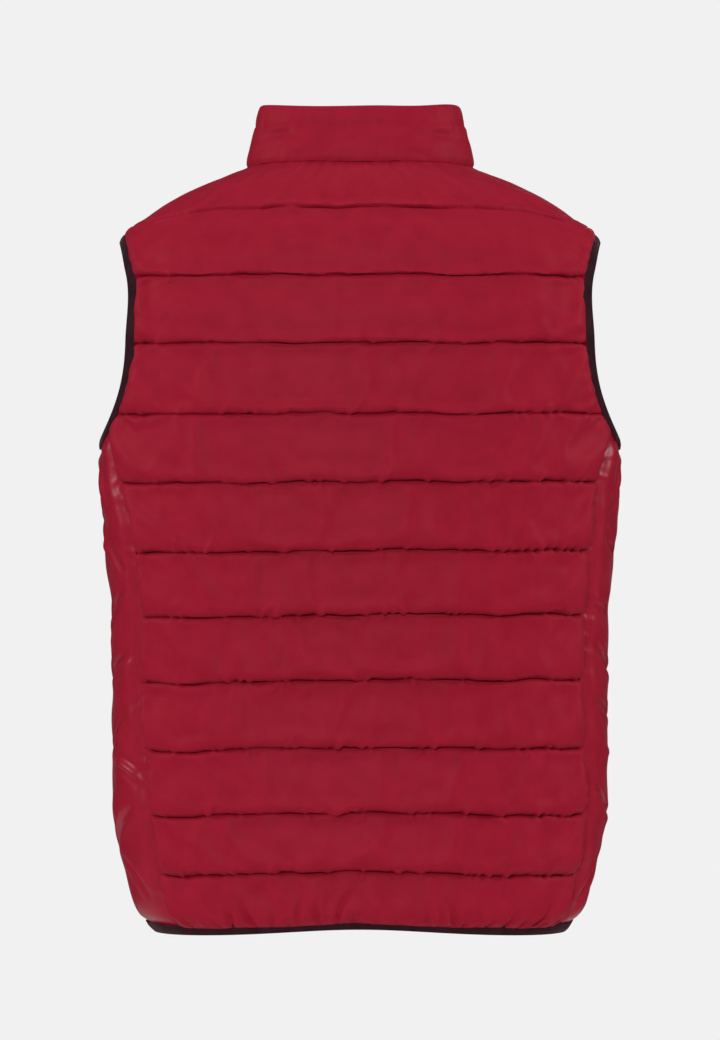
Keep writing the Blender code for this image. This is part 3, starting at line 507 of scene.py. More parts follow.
@dataclass
class Quilting:
    """How the stitched rows run: level in the main, a little askew, and down at the yoke's ends."""

    seed: int
    wander: float = 0.0008
    kinks: float = 0.0004
    tilt: float = 0.0024
    tilt_top: float = -0.16
    tilt_reach: float = 0.46
    yoke_drop: float = 0.019
    yoke_from: float = 0.27
    yoke_reach: float = 0.28
    yoke_levels: tuple[float, ...] = (-0.110, STITCH_ROWS[0], -0.008)

    def shift(self, guide: np.ndarray) -> np.ndarray:
        """How far up the cloth the rows lie from a straight one."""
        share = guide[:, 0] / Form.FLAT_HALF_GIRTH
        level = np.interp(guide[:, 1], FORM.heights, FORM.levels)
        down = np.clip((self.tilt_top - level) / self.tilt_reach, 0, 1)
        askew = self.tilt * 2 * share * np.sin(pi * down)
        top = smoothstep(np.interp(level, self.yoke_levels, (0, 1, 0)))
        drop = self.yoke_drop * smoothstep((np.abs(share) - self.yoke_from) / self.yoke_reach) * top
        ends = smoothstep((level - HEM_LEVEL) / 0.04) * smoothstep(-level / 0.03)
        wander = self.wander * Ripple(self.seed, 0.05, 0.16).at(guide * (1, 0.25))
        wander += self.kinks * Ripple(self.seed + 5, 0.010, 0.030).at(guide * (1, 0.2))
        return (wander - askew) * ends - drop

    def onto_cloth(self, guide: np.ndarray) -> np.ndarray:
        """Flat points from the guide, in which each row is straight."""
        return guide + np.column_stack([np.zeros(len(guide)), self.shift(guide)])

    def onto_guide(self, flat: np.ndarray) -> np.ndarray:
        """The guide's points for flat ones."""
        guide = flat
        for _ in range(12):
            guide = flat - np.column_stack([np.zeros(len(flat)), self.shift(guide)])
        return guide


@dataclass
class Net:
    """A cut piece's net of points and faces, laid flat. In its guide each stitched row is straight."""

    flat: np.ndarray
    guide: np.ndarray
    faces: list[tuple[int, ...]]
    outline: np.ndarray
    on_row: np.ndarray
    on_edge: np.ndarray
    away: np.ndarray
    lapped_away: np.ndarray


# How far from a stitched row the next line of points runs, so that the row is a narrow crease.
FOLD_HALF = 0.0016


def row_heights(low: float, high: float, step: float, rows: tuple[float, ...]) -> tuple[np.ndarray, set[int]]:
    """Heights of a net's lines of points, close beside each stitched one, and which of them are stitched."""
    stitched = [float(np.interp(level, FORM.levels, FORM.heights)) for level in rows]
    stops = sorted([low, high, *[h for h in stitched if low + FOLD_HALF < h < high - FOLD_HALF]])
    heights: list[float] = []
    marks: set[int] = set()
    for lower, upper in zip(stops, stops[1:]):
        first, last = lower, upper
        if lower in stitched:
            marks.add(len(heights))
            heights.append(lower)
            first = lower + FOLD_HALF
        if upper in stitched:
            last = upper - FOLD_HALF
        count = max(int(round((last - first) / step)), 1)
        run = list(np.linspace(first, last, count + 1))
        heights += run if upper in stitched else run[:-1]
    return np.array(heights), marks


def net_of(cut: np.ndarray, step: float, rows: tuple[float, ...], quilting: Quilting) -> Net:
    """Square cells inside an outline, with a line of points on each stitched row.

    Args:
        cut: The cut's outline, laid flat.
        step: The cells' size.
        rows: Levels of the stitched rows.
        quilting: How the rows run.

    Returns:
        The net.
    """
    outline = quilting.onto_guide(cut)
    heights, marks = row_heights(outline[:, 1].min(), outline[:, 1].max(), step, rows)
    columns = np.arange(int(outline[:, 0].min() / step) - 1, int(outline[:, 0].max() / step) + 2) * step
    after = np.roll(outline, -1, axis=0)
    kept, edges, stitched = [], [], []
    first = len(outline)
    for index, height in enumerate(heights):
        crossing = (outline[:, 1] > height) != (after[:, 1] > height)
        low, high = outline[crossing], after[crossing]
        xs = low[:, 0] + (high[:, 0] - low[:, 0]) * (height - low[:, 1]) / (high[:, 1] - low[:, 1])
        inside = (np.searchsorted(np.sort(xs), columns) % 2) == 1
        row = np.column_stack([columns[inside], np.full(inside.sum(), height)])
        if not len(row):
            continue
        row = row[edge_distance(outline, row) > 0.5 * step]
        if index in marks:
            number = first + np.arange(len(row))
            joined = np.diff(row[:, 0]) < 1.5 * step
            edges += [(int(a), int(a) + 1) for a in number[:-1][joined]]
        kept.append(row)
        stitched.append(np.full(len(row), index in marks))
        first += len(row)
    inner = np.concatenate(kept)
    count = len(outline)
    points = [Vector(p) for p in np.concatenate([outline, inner])]
    edges += [(i, (i + 1) % count) for i in range(count)]
    found, _, triangles, _, _, _ = delaunay_2d_cdt(points, edges, [list(range(count))], 1, 1e-7)
    made = bmesh.new()
    verts = [made.verts.new((p.x, p.y, 0)) for p in found]
    for triangle in triangles:
        made.faces.new([verts[i] for i in triangle])
    bmesh.ops.join_triangles(
        made, faces=made.faces[:], angle_face_threshold=pi, angle_shape_threshold=radians(50)
    )
    made.verts.index_update()
    faces = [tuple(v.index for v in face.verts) for face in made.faces]
    made.free()
    guide = np.array([(p.x, p.y) for p in found])
    flat = quilting.onto_cloth(guide)
    away = edge_distance(cut, flat)
    on_row = np.zeros(len(flat), bool)
    on_row[count : count + len(inner)] = np.concatenate(stitched)
    lapped = np.array([in_edging(point) for point in cut])
    lapped_away = edge_distance(cut, flat, lapped)
    on_edge = np.arange(len(flat)) < count
    return Net(flat, guide, faces, cut, on_row, on_edge, np.where(on_edge, 0, away), lapped_away)


def boundary(faces: list[tuple[int, ...]]) -> list[tuple[int, int]]:
    """The edges that only one face has, each running as its face does."""
    runs = {(face[i - 1], face[i]) for face in faces for i in range(len(face))}
    return [(a, b) for a, b in runs if (b, a) not in runs]


# --- Finishes ---------------------------------------------------------------------------------------


def linear(colour: str) -> tuple[float, float, float, float]:
    """An sRGB hex colour as linear values with an alpha of 1."""
    parts = [int(colour[i : i + 2], 16) / 255 for i in (1, 3, 5)]
    lit = [p / 12.92 if p <= 0.04045 else ((p + 0.055) / 1.055) ** 2.4 for p in parts]
    return (*lit, 1.0)


def add(tree: bpy.types.NodeTree, kind: str, options: dict | None = None, **sockets) -> bpy.types.Node:
    """Adds a node.

    Args:
        tree: The material's node tree.
        kind: The node's type.
        options: The node's own settings.
        sockets: Its inputs by name, with _ for a space, or by number as i0, i1. A value that is
            another node's output is linked, and any other is set.

    Returns:
        The node.
    """
    node = tree.nodes.new(kind)
    for name, value in (options or {}).items():
        setattr(node, name, value)
    for name, value in sockets.items():
        key = int(name[1:]) if name[0] == "i" and name[1:].isdigit() else name.replace("_", " ")
        if isinstance(value, bpy.types.NodeSocket):
            tree.links.new(value, node.inputs[key])
        else:
            node.inputs[key].default_value = value
    return node


def new_material(name: str) -> tuple[bpy.types.Material, bpy.types.NodeTree, bpy.types.Node]:
    """A new material, its node tree and its shader."""
    material = bpy.data.materials.new(name)
    material.use_nodes = True
    tree = material.node_tree
    return material, tree, tree.nodes["Principled BSDF"]


def mottle(
    tree: bpy.types.NodeTree, noise: bpy.types.NodeSocket, span: tuple[float, float], colours: tuple[str, str]
) -> None:
    """Gives the shader one colour where a noise is low and another where it is high.

    Args:
        tree: The material's node tree.
        noise: The noise's value.
        span: The values at which the first colour ends and the second is reached.
        colours: The two colours.
    """
    mixed = add(
        tree,
        "ShaderNodeMix",
        {"data_type": "RGBA"},
        Factor=add(tree, "ShaderNodeMapRange", Value=noise, From_Min=span[0], From_Max=span[1]).outputs[0],
        i6=linear(colours[0]),
        i7=linear(colours[1]),
    )
    tree.links.new(mixed.outputs[2], tree.nodes["Principled BSDF"].inputs["Base Color"])


def per_mm(size: float) -> float:
    """A pattern's scale, in features for each metre, from one feature's size in millimetres."""
    return 1000.0 / size


# How far apart a wave texture's bands are at a scale of 1.
WAVE_BAND = 2 * pi / 20


class Weave(Enum):
    """How a cloth is made, which sets its surface pattern."""

    PLAIN = "threads crossing one by one"
    RIB = "ribs of elastic knit across the edging"


@dataclass(frozen=True)
class ClothFinish:
    """A woven or knitted cloth: a cloudy colour, threads or ribs, fine crumples and a soft sheen."""

    name: str
    colour: str
    shade: str
    roughness: float
    sheen: float
    sheen_tint: str
    weave: Weave
    thread_mm: float
    thread_depth_mm: float
    cloud_mm: float
    crumple_mm: float
    crumple_depth_mm: float
    gloss: float = 0.06
    sheen_roughness: float = 0.25

    def make(self) -> bpy.types.Material:
        """Builds the material."""
        material, tree, shader = new_material(self.name)
        cloth = add(tree, "ShaderNodeUVMap", {"uv_map": CLOTH_MAP}).outputs[0]
        clouds = add(tree, "ShaderNodeTexNoise", i2=per_mm(self.cloud_mm), Vector=cloth, Detail=3.0)
        mottle(tree, clouds.outputs[0], (0.35, 0.68), (self.colour, self.shade))
        shader.inputs["Roughness"].default_value = self.roughness
        shader.inputs["Specular IOR Level"].default_value = self.gloss
        shader.inputs["Sheen Weight"].default_value = self.sheen
        shader.inputs["Sheen Roughness"].default_value = self.sheen_roughness
        shader.inputs["Sheen Tint"].default_value = linear(self.sheen_tint)
        threads = self.threads(tree, cloth)
        crumple = add(
            tree, "ShaderNodeTexNoise", i2=per_mm(self.crumple_mm), Vector=cloth, Detail=2.0
        ).outputs[0]
        coarse = add(
            tree, "ShaderNodeBump", Height=crumple, Strength=1.0, Distance=self.crumple_depth_mm / 1000
        ).outputs[0]
        fine = add(
            tree,
            "ShaderNodeBump",
            Height=threads,
            Strength=1.0,
            Distance=self.thread_depth_mm / 1000,
            Normal=coarse,
        ).outputs[0]
        tree.links.new(fine, shader.inputs["Normal"])
        return material

    def threads(self, tree: bpy.types.NodeTree, cloth: bpy.types.NodeSocket) -> bpy.types.NodeSocket:
        """The height of the threads or ribs."""
        scale = per_mm(self.thread_mm) * WAVE_BAND
        bands = [
            add(
                tree,
                "ShaderNodeTexWave",
                {"wave_type": "BANDS", "bands_direction": axis},
                Vector=cloth,
                Scale=scale,
                Distortion=0.8,
                Detail=1.0,
            ).outputs[1]
            for axis in ("X", "Y")
        ]
        if self.weave is Weave.RIB:
            return bands[0]
        return add(tree, "ShaderNodeMath", {"operation": "MULTIPLY"}, i0=bands[0], i1=bands[1]).outputs[0]


@dataclass(frozen=True)
class HardFinish:
    """A moulded or enamelled hard surface with faint unevenness in its gloss."""

    name: str
    colour: str
    worn: str
    roughness: float
    metallic: float
    grain_mm: float
    grain_depth_mm: float

    def make(self) -> bpy.types.Material:
        """Builds the material."""
        material, tree, shader = new_material(self.name)
        here = add(tree, "ShaderNodeTexCoord").outputs["Object"]
        grain = add(tree, "ShaderNodeTexNoise", i2=per_mm(self.grain_mm), Vector=here, Detail=3.0).outputs[0]
        mottle(tree, grain, (0.5, 0.75), (self.colour, self.worn))
        rough = add(
            tree, "ShaderNodeMapRange", Value=grain, To_Min=self.roughness * 0.8, To_Max=self.roughness * 1.25
        )
        tree.links.new(rough.outputs[0], shader.inputs["Roughness"])
        shader.inputs["Metallic"].default_value = self.metallic
        bump = add(tree, "ShaderNodeBump", Height=grain, Strength=1.0, Distance=self.grain_depth_mm / 1000)
        tree.links.new(bump.outputs[0], shader.inputs["Normal"])
        return material


# Polyester taffeta over wadding, calendered so that it is smooth: a low, wide sheen. Its real threads are
# about 0.12 mm apart. They are drawn 0.9 mm apart and very faint, so that the cloth has a grain.
SHELL_TAFFETA = ClothFinish(
    name="red_polyester_taffeta",
    colour="#98172C",
    shade="#911429",
    roughness=0.55,
    sheen=0.08,
    sheen_tint="#F0C4C8",
    weave=Weave.PLAIN,
    thread_mm=0.9,
    thread_depth_mm=0.02,
    cloud_mm=20.0,
    crumple_mm=7.0,
    crumple_depth_mm=0.25,
    gloss=0.06,
)
# The same taffeta with no wadding behind it, a little more lustrous where it wrinkles.
SIDE_TAFFETA = ClothFinish(
    name="red_unlined_taffeta",
    colour="#99172C",
    shade="#921429",
    roughness=0.34,
    sheen=0.10,
    sheen_tint="#F4CCD0",
    weave=Weave.PLAIN,
    thread_mm=0.9,
    thread_depth_mm=0.02,
    cloud_mm=26.0,
    crumple_mm=6.0,
    crumple_depth_mm=0.15,
    gloss=0.19,
)
# Elastic knit edging, dull, with ribs across it 1.1 mm apart.
ELASTIC_KNIT = ClothFinish(
    name="dark_elastic_knit",
    colour="#33191F",
    shade="#281317",
    roughness=0.80,
    sheen=0.20,
    sheen_tint="#C9A0A6",
    weave=Weave.RIB,
    thread_mm=1.1,
    thread_depth_mm=0.12,
    cloud_mm=12.0,
    crumple_mm=5.0,
    crumple_depth_mm=0.05,
)
# Woven polyester zip tape, matt, its threads drawn 0.7 mm apart.
ZIP_TAPE = ClothFinish(
    name="dark_woven_zip_tape",
    colour="#2A181C",
    shade="#221216",
    roughness=0.75,
    sheen=0.15,
    sheen_tint="#B0989C",
    weave=Weave.PLAIN,
    thread_mm=0.7,
    thread_depth_mm=0.06,
    cloud_mm=15.0,
    crumple_mm=5.0,
    crumple_depth_mm=0.03,
)
# Moulded nylon coil, slightly glossy on its rounded tops.
NYLON_COIL = HardFinish(
    name="black_nylon_coil",
    colour="#2B292B",
    worn="#343134",
    roughness=0.42,
    metallic=0.0,
    grain_mm=1.5,
    grain_depth_mm=0.004,
)
# Zinc die casting under dark enamel, with a fine orange peel.
ENAMELLED_ZINC = HardFinish(
    name="grey_enamelled_zinc",
    colour="#75706F",
    worn="#8A8583",
    roughness=0.33,
    metallic=0.9,
    grain_mm=1.2,
    grain_depth_mm=0.006,
)


class Finishes:
    """Each finish made once."""

    def __init__(self) -> None:
        """Starts with none made."""
        self.made: dict[str, bpy.types.Material] = {}

    def get(self, finish: ClothFinish | HardFinish) -> bpy.types.Material:
        """The finish's material."""
        if finish.name not in self.made:
            self.made[finish.name] = finish.make()
        return self.made[finish.name]


FINISHES = Finishes()


# --- Meshes -----------------------------------------------------------------------------------------


@dataclass
class Body:
    """Points, faces and flat places of a piece, and how many of its last faces are its cut edge."""

    points: np.ndarray
    faces: list[tuple[int, ...]]
    flat: np.ndarray
    rim: int = 0


# The fold over which an edge shows as one.
SHARP_FOLD = radians(60)


def linked(name: str, data: bpy.types.ID) -> bpy.types.Object:
    """The object of a mesh, a light or a camera, in the scene."""
    obj = bpy.data.objects.new(name, data)
    bpy.context.scene.collection.objects.link(obj)
    return obj


def mesh_of(name: str, points: np.ndarray, faces: list[tuple[int, ...]]) -> bpy.types.Mesh:
    """A mesh of points and faces."""
    mesh = bpy.data.meshes.new(name)
    mesh.from_pydata(points.tolist(), [], faces)
    return mesh


def object_of(name: str, body: Body, finish: ClothFinish | HardFinish) -> bpy.types.Object:
    """A mesh object with its cloth map, in its finish.

    Args:
        name: The piece's name.
        body: Its shape.
        finish: Its finish.

    Returns:
        The object.
    """
    mesh = mesh_of(name, body.points, body.faces)
    layer = mesh.uv_layers.new(name=CLOTH_MAP)
    corner = np.empty(len(mesh.loops), int)
    mesh.loops.foreach_get("vertex_index", corner)
    layer.uv.foreach_set("vector", body.flat[corner].astype(np.float32).ravel())
    mesh.shade_smooth()
    mesh.set_sharp_from_angle(angle=SHARP_FOLD)
    if body.rim:
        smooth = np.ones(len(mesh.polygons), bool)
        smooth[-body.rim :] = False
        mesh.polygons.foreach_set("use_smooth", smooth)
    mesh.materials.append(FINISHES.get(finish))
    return linked(name, mesh)


def points_of(mesh: bpy.types.Mesh) -> np.ndarray:
    """A mesh's points."""
    found = np.empty(len(mesh.vertices) * 3, np.float32)
    mesh.vertices.foreach_get("co", found)
    return found.reshape(-1, 3).astype(float)


def normals_of(mesh: bpy.types.Mesh) -> np.ndarray:
    """A mesh's normals at its points."""
    found = np.empty(len(mesh.vertices) * 3, np.float32)
    mesh.vertex_normals.foreach_get("vector", found)
    return found.reshape(-1, 3).astype(float)


@dataclass(frozen=True)
class Settling:
    """How padded cloth settles: its wadding pushes out, its stitching holds, and spare cloth crumples."""

    frames: int = 14
    quality: int = 4
    pressure: float = 3.0
    growth: float = 0.004
    mass: float = 0.15
    weight: float = 0.25
    tension: float = 12.0
    compression: float = 8.0
    shear: float = 4.0
    bending: float = 3.0
    cap: float = 0.005

    def run(self, start: np.ndarray, faces: list[tuple[int, ...]], held: np.ndarray) -> np.ndarray:
        """Lets the cloth settle.

        Args:
            start: Its points.
            faces: Its faces.
            held: How firmly each point is held, from 0 to 1.

        Returns:
            The settled points, none further than the cap from its start.
        """
        obj = linked("settling", mesh_of("settling", start, faces))
        group = obj.vertex_groups.new(name="stitched")
        for index in np.flatnonzero(held > 0):
            group.add([int(index)], float(held[index]), "REPLACE")
        cloth = obj.modifiers.new("cloth", "CLOTH")
        settings = cloth.settings
        settings.quality = self.quality
        settings.mass = self.mass
        settings.tension_stiffness = self.tension
        settings.compression_stiffness = self.compression
        settings.shear_stiffness = self.shear
        settings.bending_stiffness = self.bending
        settings.vertex_group_mass = group.name
        settings.use_pressure = True
        settings.uniform_pressure_force = self.pressure
        settings.shrink_min = -self.growth
        settings.effector_weights.gravity = self.weight
        cloth.collision_settings.use_collision = False
        cloth.point_cache.frame_end = self.frames
        scene = bpy.context.scene
        for number in range(1, self.frames + 1):
            scene.frame_set(number)
        settled = points_of(obj.evaluated_get(bpy.context.evaluated_depsgraph_get()).data)
        bpy.data.objects.remove(obj)
        scene.frame_set(1)
        move = settled - start
        length = np.linalg.norm(move, axis=1, keepdims=True)
        return start + move * np.minimum(1, self.cap / np.maximum(length, 1e-9))


class Skin(NamedTuple):
    """A rounded skin, its normals, the point on each edge of its net, and each point's way to the edgings."""

    body: Body
    normals: np.ndarray
    middles: dict[tuple[int, int], int]
    lapped_away: np.ndarray


def subdivided(net: Net, points: np.ndarray, creased: np.ndarray) -> Skin:
    """Rounds a skin by one subdivision.

    Args:
        net: The skin's net.
        points: Its points.
        creased: The points whose joining edges stay folded.

    Returns:
        The rounded skin.
    """
    mesh = mesh_of("rounding", points, net.faces)
    obj = linked("rounding", mesh)
    ends = np.empty(len(mesh.edges) * 2, np.int32)
    mesh.edges.foreach_get("vertices", ends)
    ends = ends.reshape(-1, 2)
    folds = mesh.attributes.new("crease_edge", "FLOAT", "EDGE")
    folds.data.foreach_set("value", creased[ends].all(1).astype(np.float32))
    modifier = obj.modifiers.new("rounding", "SUBSURF")
    modifier.levels = modifier.render_levels = 1
    fine = obj.evaluated_get(bpy.context.evaluated_depsgraph_get()).to_mesh()
    found, normals = points_of(fine), normals_of(fine)
    faces = [tuple(face.vertices) for face in fine.polygons]
    centres = [np.mean(net.flat[list(face)], axis=0) for face in net.faces]
    flat = np.concatenate([net.flat, net.flat[ends].mean(1), centres])
    bare = net.lapped_away
    bare = np.concatenate([bare, bare[ends].mean(1), [bare[list(face)].mean() for face in net.faces]])
    middles = {tuple(sorted(pair)): len(net.flat) + i for i, pair in enumerate(ends.tolist())}
    bpy.data.objects.remove(obj)
    return Skin(Body(found, faces, flat), normals, middles, bare)


def closed(net: Net, skin: Skin, inner: np.ndarray) -> Body:
    """Joins a rounded outer skin to a plain inner one, with a rim between them."""
    fine = skin.body
    count = len(fine.points)
    back = [tuple(i + count for i in reversed(face)) for face in net.faces]
    rim = []
    for a, b in boundary(net.faces):
        rim.append((b, skin.middles[tuple(sorted((a, b)))], a, a + count, b + count))
    points = np.concatenate([fine.points, inner])
    return Body(points, [*fine.faces, *back, *rim], np.concatenate([fine.flat, net.flat]), len(rim))


def lined(outer: Body, inner: np.ndarray) -> Body:
    """Joins a skin to its inner side, which has the same faces, with a rim between them."""
    count = len(outer.points)
    back = [tuple(i + count for i in reversed(face)) for face in outer.faces]
    rim = [(b, a, a + count, b + count) for a, b in boundary(outer.faces)]
    points, flat = np.concatenate([outer.points, inner]), np.concatenate([outer.flat, outer.flat])
    return Body(points, [*outer.faces, *back, *rim], flat, len(rim))


def grid_faces(columns: int, rows: int, round_columns: bool, round_rows: bool) -> list[tuple[int, ...]]:
    """Faces of a grid whose points run up each column in turn.

    Args:
        columns: The number of columns.
        rows: The number of points in each.
        round_columns: Whether the last column joins the first.
        round_rows: Whether each column's last point joins its first.

    Returns:
        The faces.
    """
    faces = []
    for i in range(columns if round_columns else columns - 1):
        after = (i + 1) % columns
        for j in range(rows if round_rows else rows - 1):
            up = (j + 1) % rows
            faces.append((i * rows + j, after * rows + j, after * rows + up, i * rows + up))
    return faces


def tube_faces(columns: int, rows: int, flipped: bool = False, first: int = 0) -> list[tuple[int, ...]]:
    """Faces of a tube of closed sections with a face at each end.

    Args:
        columns: The number of sections.
        rows: The number of points in each.
        flipped: Whether its sections run the other way round, so that the faces are turned over.
        first: The number of its first point.

    Returns:
        The faces.
    """
    last = (columns - 1) * rows
    ends = [tuple(reversed(range(rows))), tuple(range(last, last + rows))]
    faces = [*grid_faces(columns, rows, False, True), *ends]
    return [tuple(first + i for i in (reversed(face) if flipped else face)) for face in faces]


def swept(runs: list[np.ndarray], flats: list[np.ndarray], faces: list[tuple[int, ...]]) -> Body:
    """A body from the run of each point of its section and that run's flat place."""
    return Body(np.stack(runs, axis=1).reshape(-1, 3), faces, np.stack(flats, axis=1).reshape(-1, 2))


def publish(obj: bpy.types.Object, slot: str, *nodes: str) -> None:
    """Puts a piece on the vest in place of its plain solids."""
    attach(obj, BODY)
    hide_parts(*nodes)
    LOG.info("%s: %d points", obj.name, len(obj.data.vertices))


# --- Quilted panels ---------------------------------------------------------------------------------


class Wearer(Enum):
    """A side of the wearer."""

    LEFT = 1
    RIGHT = -1


def beside_zip(flat: np.ndarray) -> np.ndarray:
    """1 at points near the zip, where the tape keeps the cloth's edge from sinking in, and 0 elsewhere."""
    zip_share = 0.9
    return np.where(np.abs(FORM.spots(flat)[:, 0]) > zip_share, 1.0, 0.0)


def seam_notches(net: Net, depth: float, seed: int) -> np.ndarray:
    """How far the cloth is drawn in along its seams, unevenly below the yoke and evenly above."""
    yoke_level, yoke_reach, bare_reach = -0.125, 0.03, 0.003
    at_neck = smoothstep((FORM.spots(net.flat)[:, 1] - yoke_level) / yoke_reach)
    uneven = 0.7 + 0.5 * Ripple(seed + 7, 0.012, 0.045).at(net.flat) * (1 - at_neck)
    bare = smoothstep((net.lapped_away - CUT.edging_lap) / bare_reach)
    return depth * np.clip(uneven, 0.15, 1.3) * bare * net.on_edge


def edge_spot(
    outline: np.ndarray, distance: np.ndarray, place: float
) -> tuple[np.ndarray, np.ndarray, np.ndarray]:
    """A point of a panel's edge, the way along the edge there and the way in from it."""
    look_ahead = 0.004
    here = at_distance(outline, distance, place)
    way = unit(at_distance(outline, distance, place + look_ahead) - here)
    return here, way, np.array([-way[1], way[0]])


class Gather(NamedTuple):
    """The ranges that the tucks from one kind of edge are drawn from."""

    short: tuple[float, float]
    depth: tuple[float, float]
    width: tuple[float, float]
    gap: tuple[float, float]
    inset: float
    long: tuple[float, float] | None = None
    long_share: float = 0.0

    def length(self, draw: np.random.Generator) -> float:
        """Draws a tuck's length."""
        length = draw.uniform(*self.short)
        if self.long is None:
            return length
        chances = [1 - self.long_share, self.long_share]
        return draw.choice([length, draw.uniform(*self.long)], p=chances)


HEM_GATHER = Gather(
    short=(0.006, 0.012),
    depth=(0.0028, 0.0056),
    width=(0.0019, 0.0030),
    gap=(0.008, 0.026),
    inset=0.0065,
    long=(0.016, 0.034),
    long_share=0.45,
)
ARMHOLE_GATHER = Gather(
    short=(0.008, 0.014),
    depth=(0.0008, 0.0022),
    width=(0.0026, 0.0050),
    gap=(0.009, 0.024),
    inset=0.0035,
    long=(0.022, 0.046),
    long_share=0.35,
)
SEAM_GATHER = Gather(
    short=(0.005, 0.015),
    depth=(0.0008, 0.0024),
    width=(0.0020, 0.0032),
    gap=(0.010, 0.034),
    inset=0.0005,
)


@dataclass
class QuiltedPanel:
    """A padded panel, sewn through in rows that hold it in while its channels puff out."""

    name: str
    node: str
    runs: list[np.ndarray]
    seed: int
    cell: float = 0.0043
    # From the hem's channel up to the collar's.
    puffs: tuple[float, ...] = (*[0.0062] * 3, *[0.0060] * 2, 0.0058, 0.0055, 0.0050, *[0.0046] * 4)
    # The share of a channel's height that is its round underside, and how full each of its parts is.
    underside: float = 0.38
    under_fullness: float = 0.85
    over_fullness: float = 1.6
    edge_fade: float = 0.0075
    groove: float = 0.0044
    groove_vary: float = 0.22
    seam_notch: float = 0.0034
    zip_hold: float = 0.85
    zip_hold_reach: float = 0.006
    clear_reach: float = 0.007
    # The share of a row's tucks that run up from it, and the others' length beside theirs.
    tucks_up: float = 0.72
    down_length: float = 0.6
    patch: float = 0.10
    dimple: float = 0.0004
    inner_share: float = 0.2
    settling: Settling = Settling()

    def channel(self, level: np.ndarray) -> tuple[np.ndarray, np.ndarray]:
        """Each point's share of its channel's height, from the lower row, and the channel's number."""
        edges = np.array([HEM_LEVEL, *reversed(STITCH_ROWS), COLLAR_SEAM_TOP])
        index = np.clip(np.searchsorted(edges, level, "right") - 1, 0, len(edges) - 2)
        return (level - edges[index]) / (edges[index + 1] - edges[index]), index

    def rise(self, net: Net) -> np.ndarray:
        """How far the wadding first pushes the cloth out, nothing under the edgings."""
        share, index = self.channel(FORM.spots(net.guide)[:, 1])
        share = np.clip(share, 0, 1)
        under = (1 - (1 - np.clip(share / self.underside, 0, 1)) ** 2) ** self.under_fullness
        over = 1 - ((share - self.underside) / (1 - self.underside)) ** self.over_fullness
        pillow = np.where(share < self.underside, under, over)
        fade = smoothstep(np.maximum(net.away - 0.001, 0) / self.edge_fade) ** 0.55
        bare = np.maximum(net.lapped_away - CUT.edging_lap, 0)
        fade = np.minimum(fade, smoothstep(bare / self.edge_fade) ** 0.6)
        patches = 1 + self.patch * Ripple(self.seed + 1, 0.05, 0.12).at(net.flat)
        dimples = self.dimple * Ripple(self.seed + 2, 0.014, 0.038, 1.25).at(net.flat) * pillow
        return np.array(self.puffs)[index] * pillow * fade * patches + dimples * fade

    def drawn_in(self, net: Net) -> np.ndarray:
        """How far stitching and seams hold the cloth in, least right beside the zip."""
        sewn = np.clip(1 + self.groove_vary * Ripple(self.seed + 6, 0.018, 0.08).at(net.flat), 0.6, 1.5)
        inward = self.groove * sewn * net.on_row + seam_notches(net, self.seam_notch, self.seed)
        near_edge = 1 - smoothstep(net.away / self.zip_hold_reach)
        return inward * (1 - self.zip_hold * beside_zip(net.flat) * near_edge)

    def pucker_tucks(self, net: Net) -> list[Tuck]:
        """Small tucks where the stitching gathers the cloth, uneven in length, depth and spacing."""
        draw = np.random.default_rng(self.seed + 3)
        tucks = []
        for number, level in enumerate(STITCH_ROWS):
            # The rows gather more the lower they are.
            gathered = min(0.3 + 0.16 * number, 1)
            height = float(np.interp(level, FORM.levels, FORM.heights))
            row = net.flat[net.on_row & (np.abs(net.guide[:, 1] - height) < 1e-4)]
            if not len(row):
                continue
            row = row[np.argsort(row[:, 0])]
            x = row[0, 0] + draw.uniform(0.002, 0.02)
            while x < row[-1, 0]:
                height = float(np.interp(x, *row.T))
                up = 1 if draw.random() < self.tucks_up else -1
                length = draw.uniform(0.005, 0.017) * (1 if up > 0 else self.down_length)
                lean = draw.uniform(-0.9, 0.9)
                end = (x + lean * length, height + up * length)
                width, depth = draw.uniform(0.0017, 0.0028), draw.uniform(0.0008, 0.0030)
                bow = draw.uniform(-0.1, 0.1)
                tucks.append(Tuck((x, height), end, width, depth * gathered, bow, Fade.FAR_END))
                x += draw.choice([draw.uniform(0.004, 0.010), draw.uniform(0.014, 0.045)])
        return tucks

    def edge_tucks(self, net: Net) -> list[Tuck]:
        """Tucks that run in from the gathered edges: the hem's folds and the fans at the armholes."""
        draw = np.random.default_rng(self.seed + 4)
        distance = distance_along(net.outline)
        hem = float(np.interp(TUCKED_HEM, FORM.levels, FORM.heights))
        hem_reach = 0.004
        tucks = []
        place = draw.uniform(0, 0.01)
        while place < distance[-1]:
            here, way, inward = edge_spot(net.outline, distance, place)
            gather = SEAM_GATHER
            if here[1] < hem + hem_reach:
                gather = HEM_GATHER
            elif in_edging(here):
                gather = ARMHOLE_GATHER
            length = gather.length(draw)
            depth, width = draw.uniform(*gather.depth), draw.uniform(*gather.width)
            if gather is SEAM_GATHER:
                depth *= self.seam_tuck_share(here)
            start = here + inward * gather.inset
            end = start + (inward + way * draw.uniform(-0.7, 0.7)) * length
            bow = draw.uniform(-0.14, 0.14)
            tucks.append(Tuck(tuple(start), tuple(end), width, depth, bow, Fade.FAR_END))
            place += draw.uniform(*gather.gap)
        return tucks

    def seam_tuck_share(self, here: np.ndarray) -> float:
        """How deep a seam's tucks are, of their full depth: shallower on the yoke and beside the zip."""
        yoke_level, yoke_reach, yoke_loss, zip_loss = -0.12, 0.04, 0.8, 0.7
        level = FORM.spots(here[None])[0, 1]
        on_yoke = float(smoothstep(np.array((level - yoke_level) / yoke_reach)))
        return (1 - yoke_loss * on_yoke) * (1 - zip_loss * float(beside_zip(here[None])[0]))

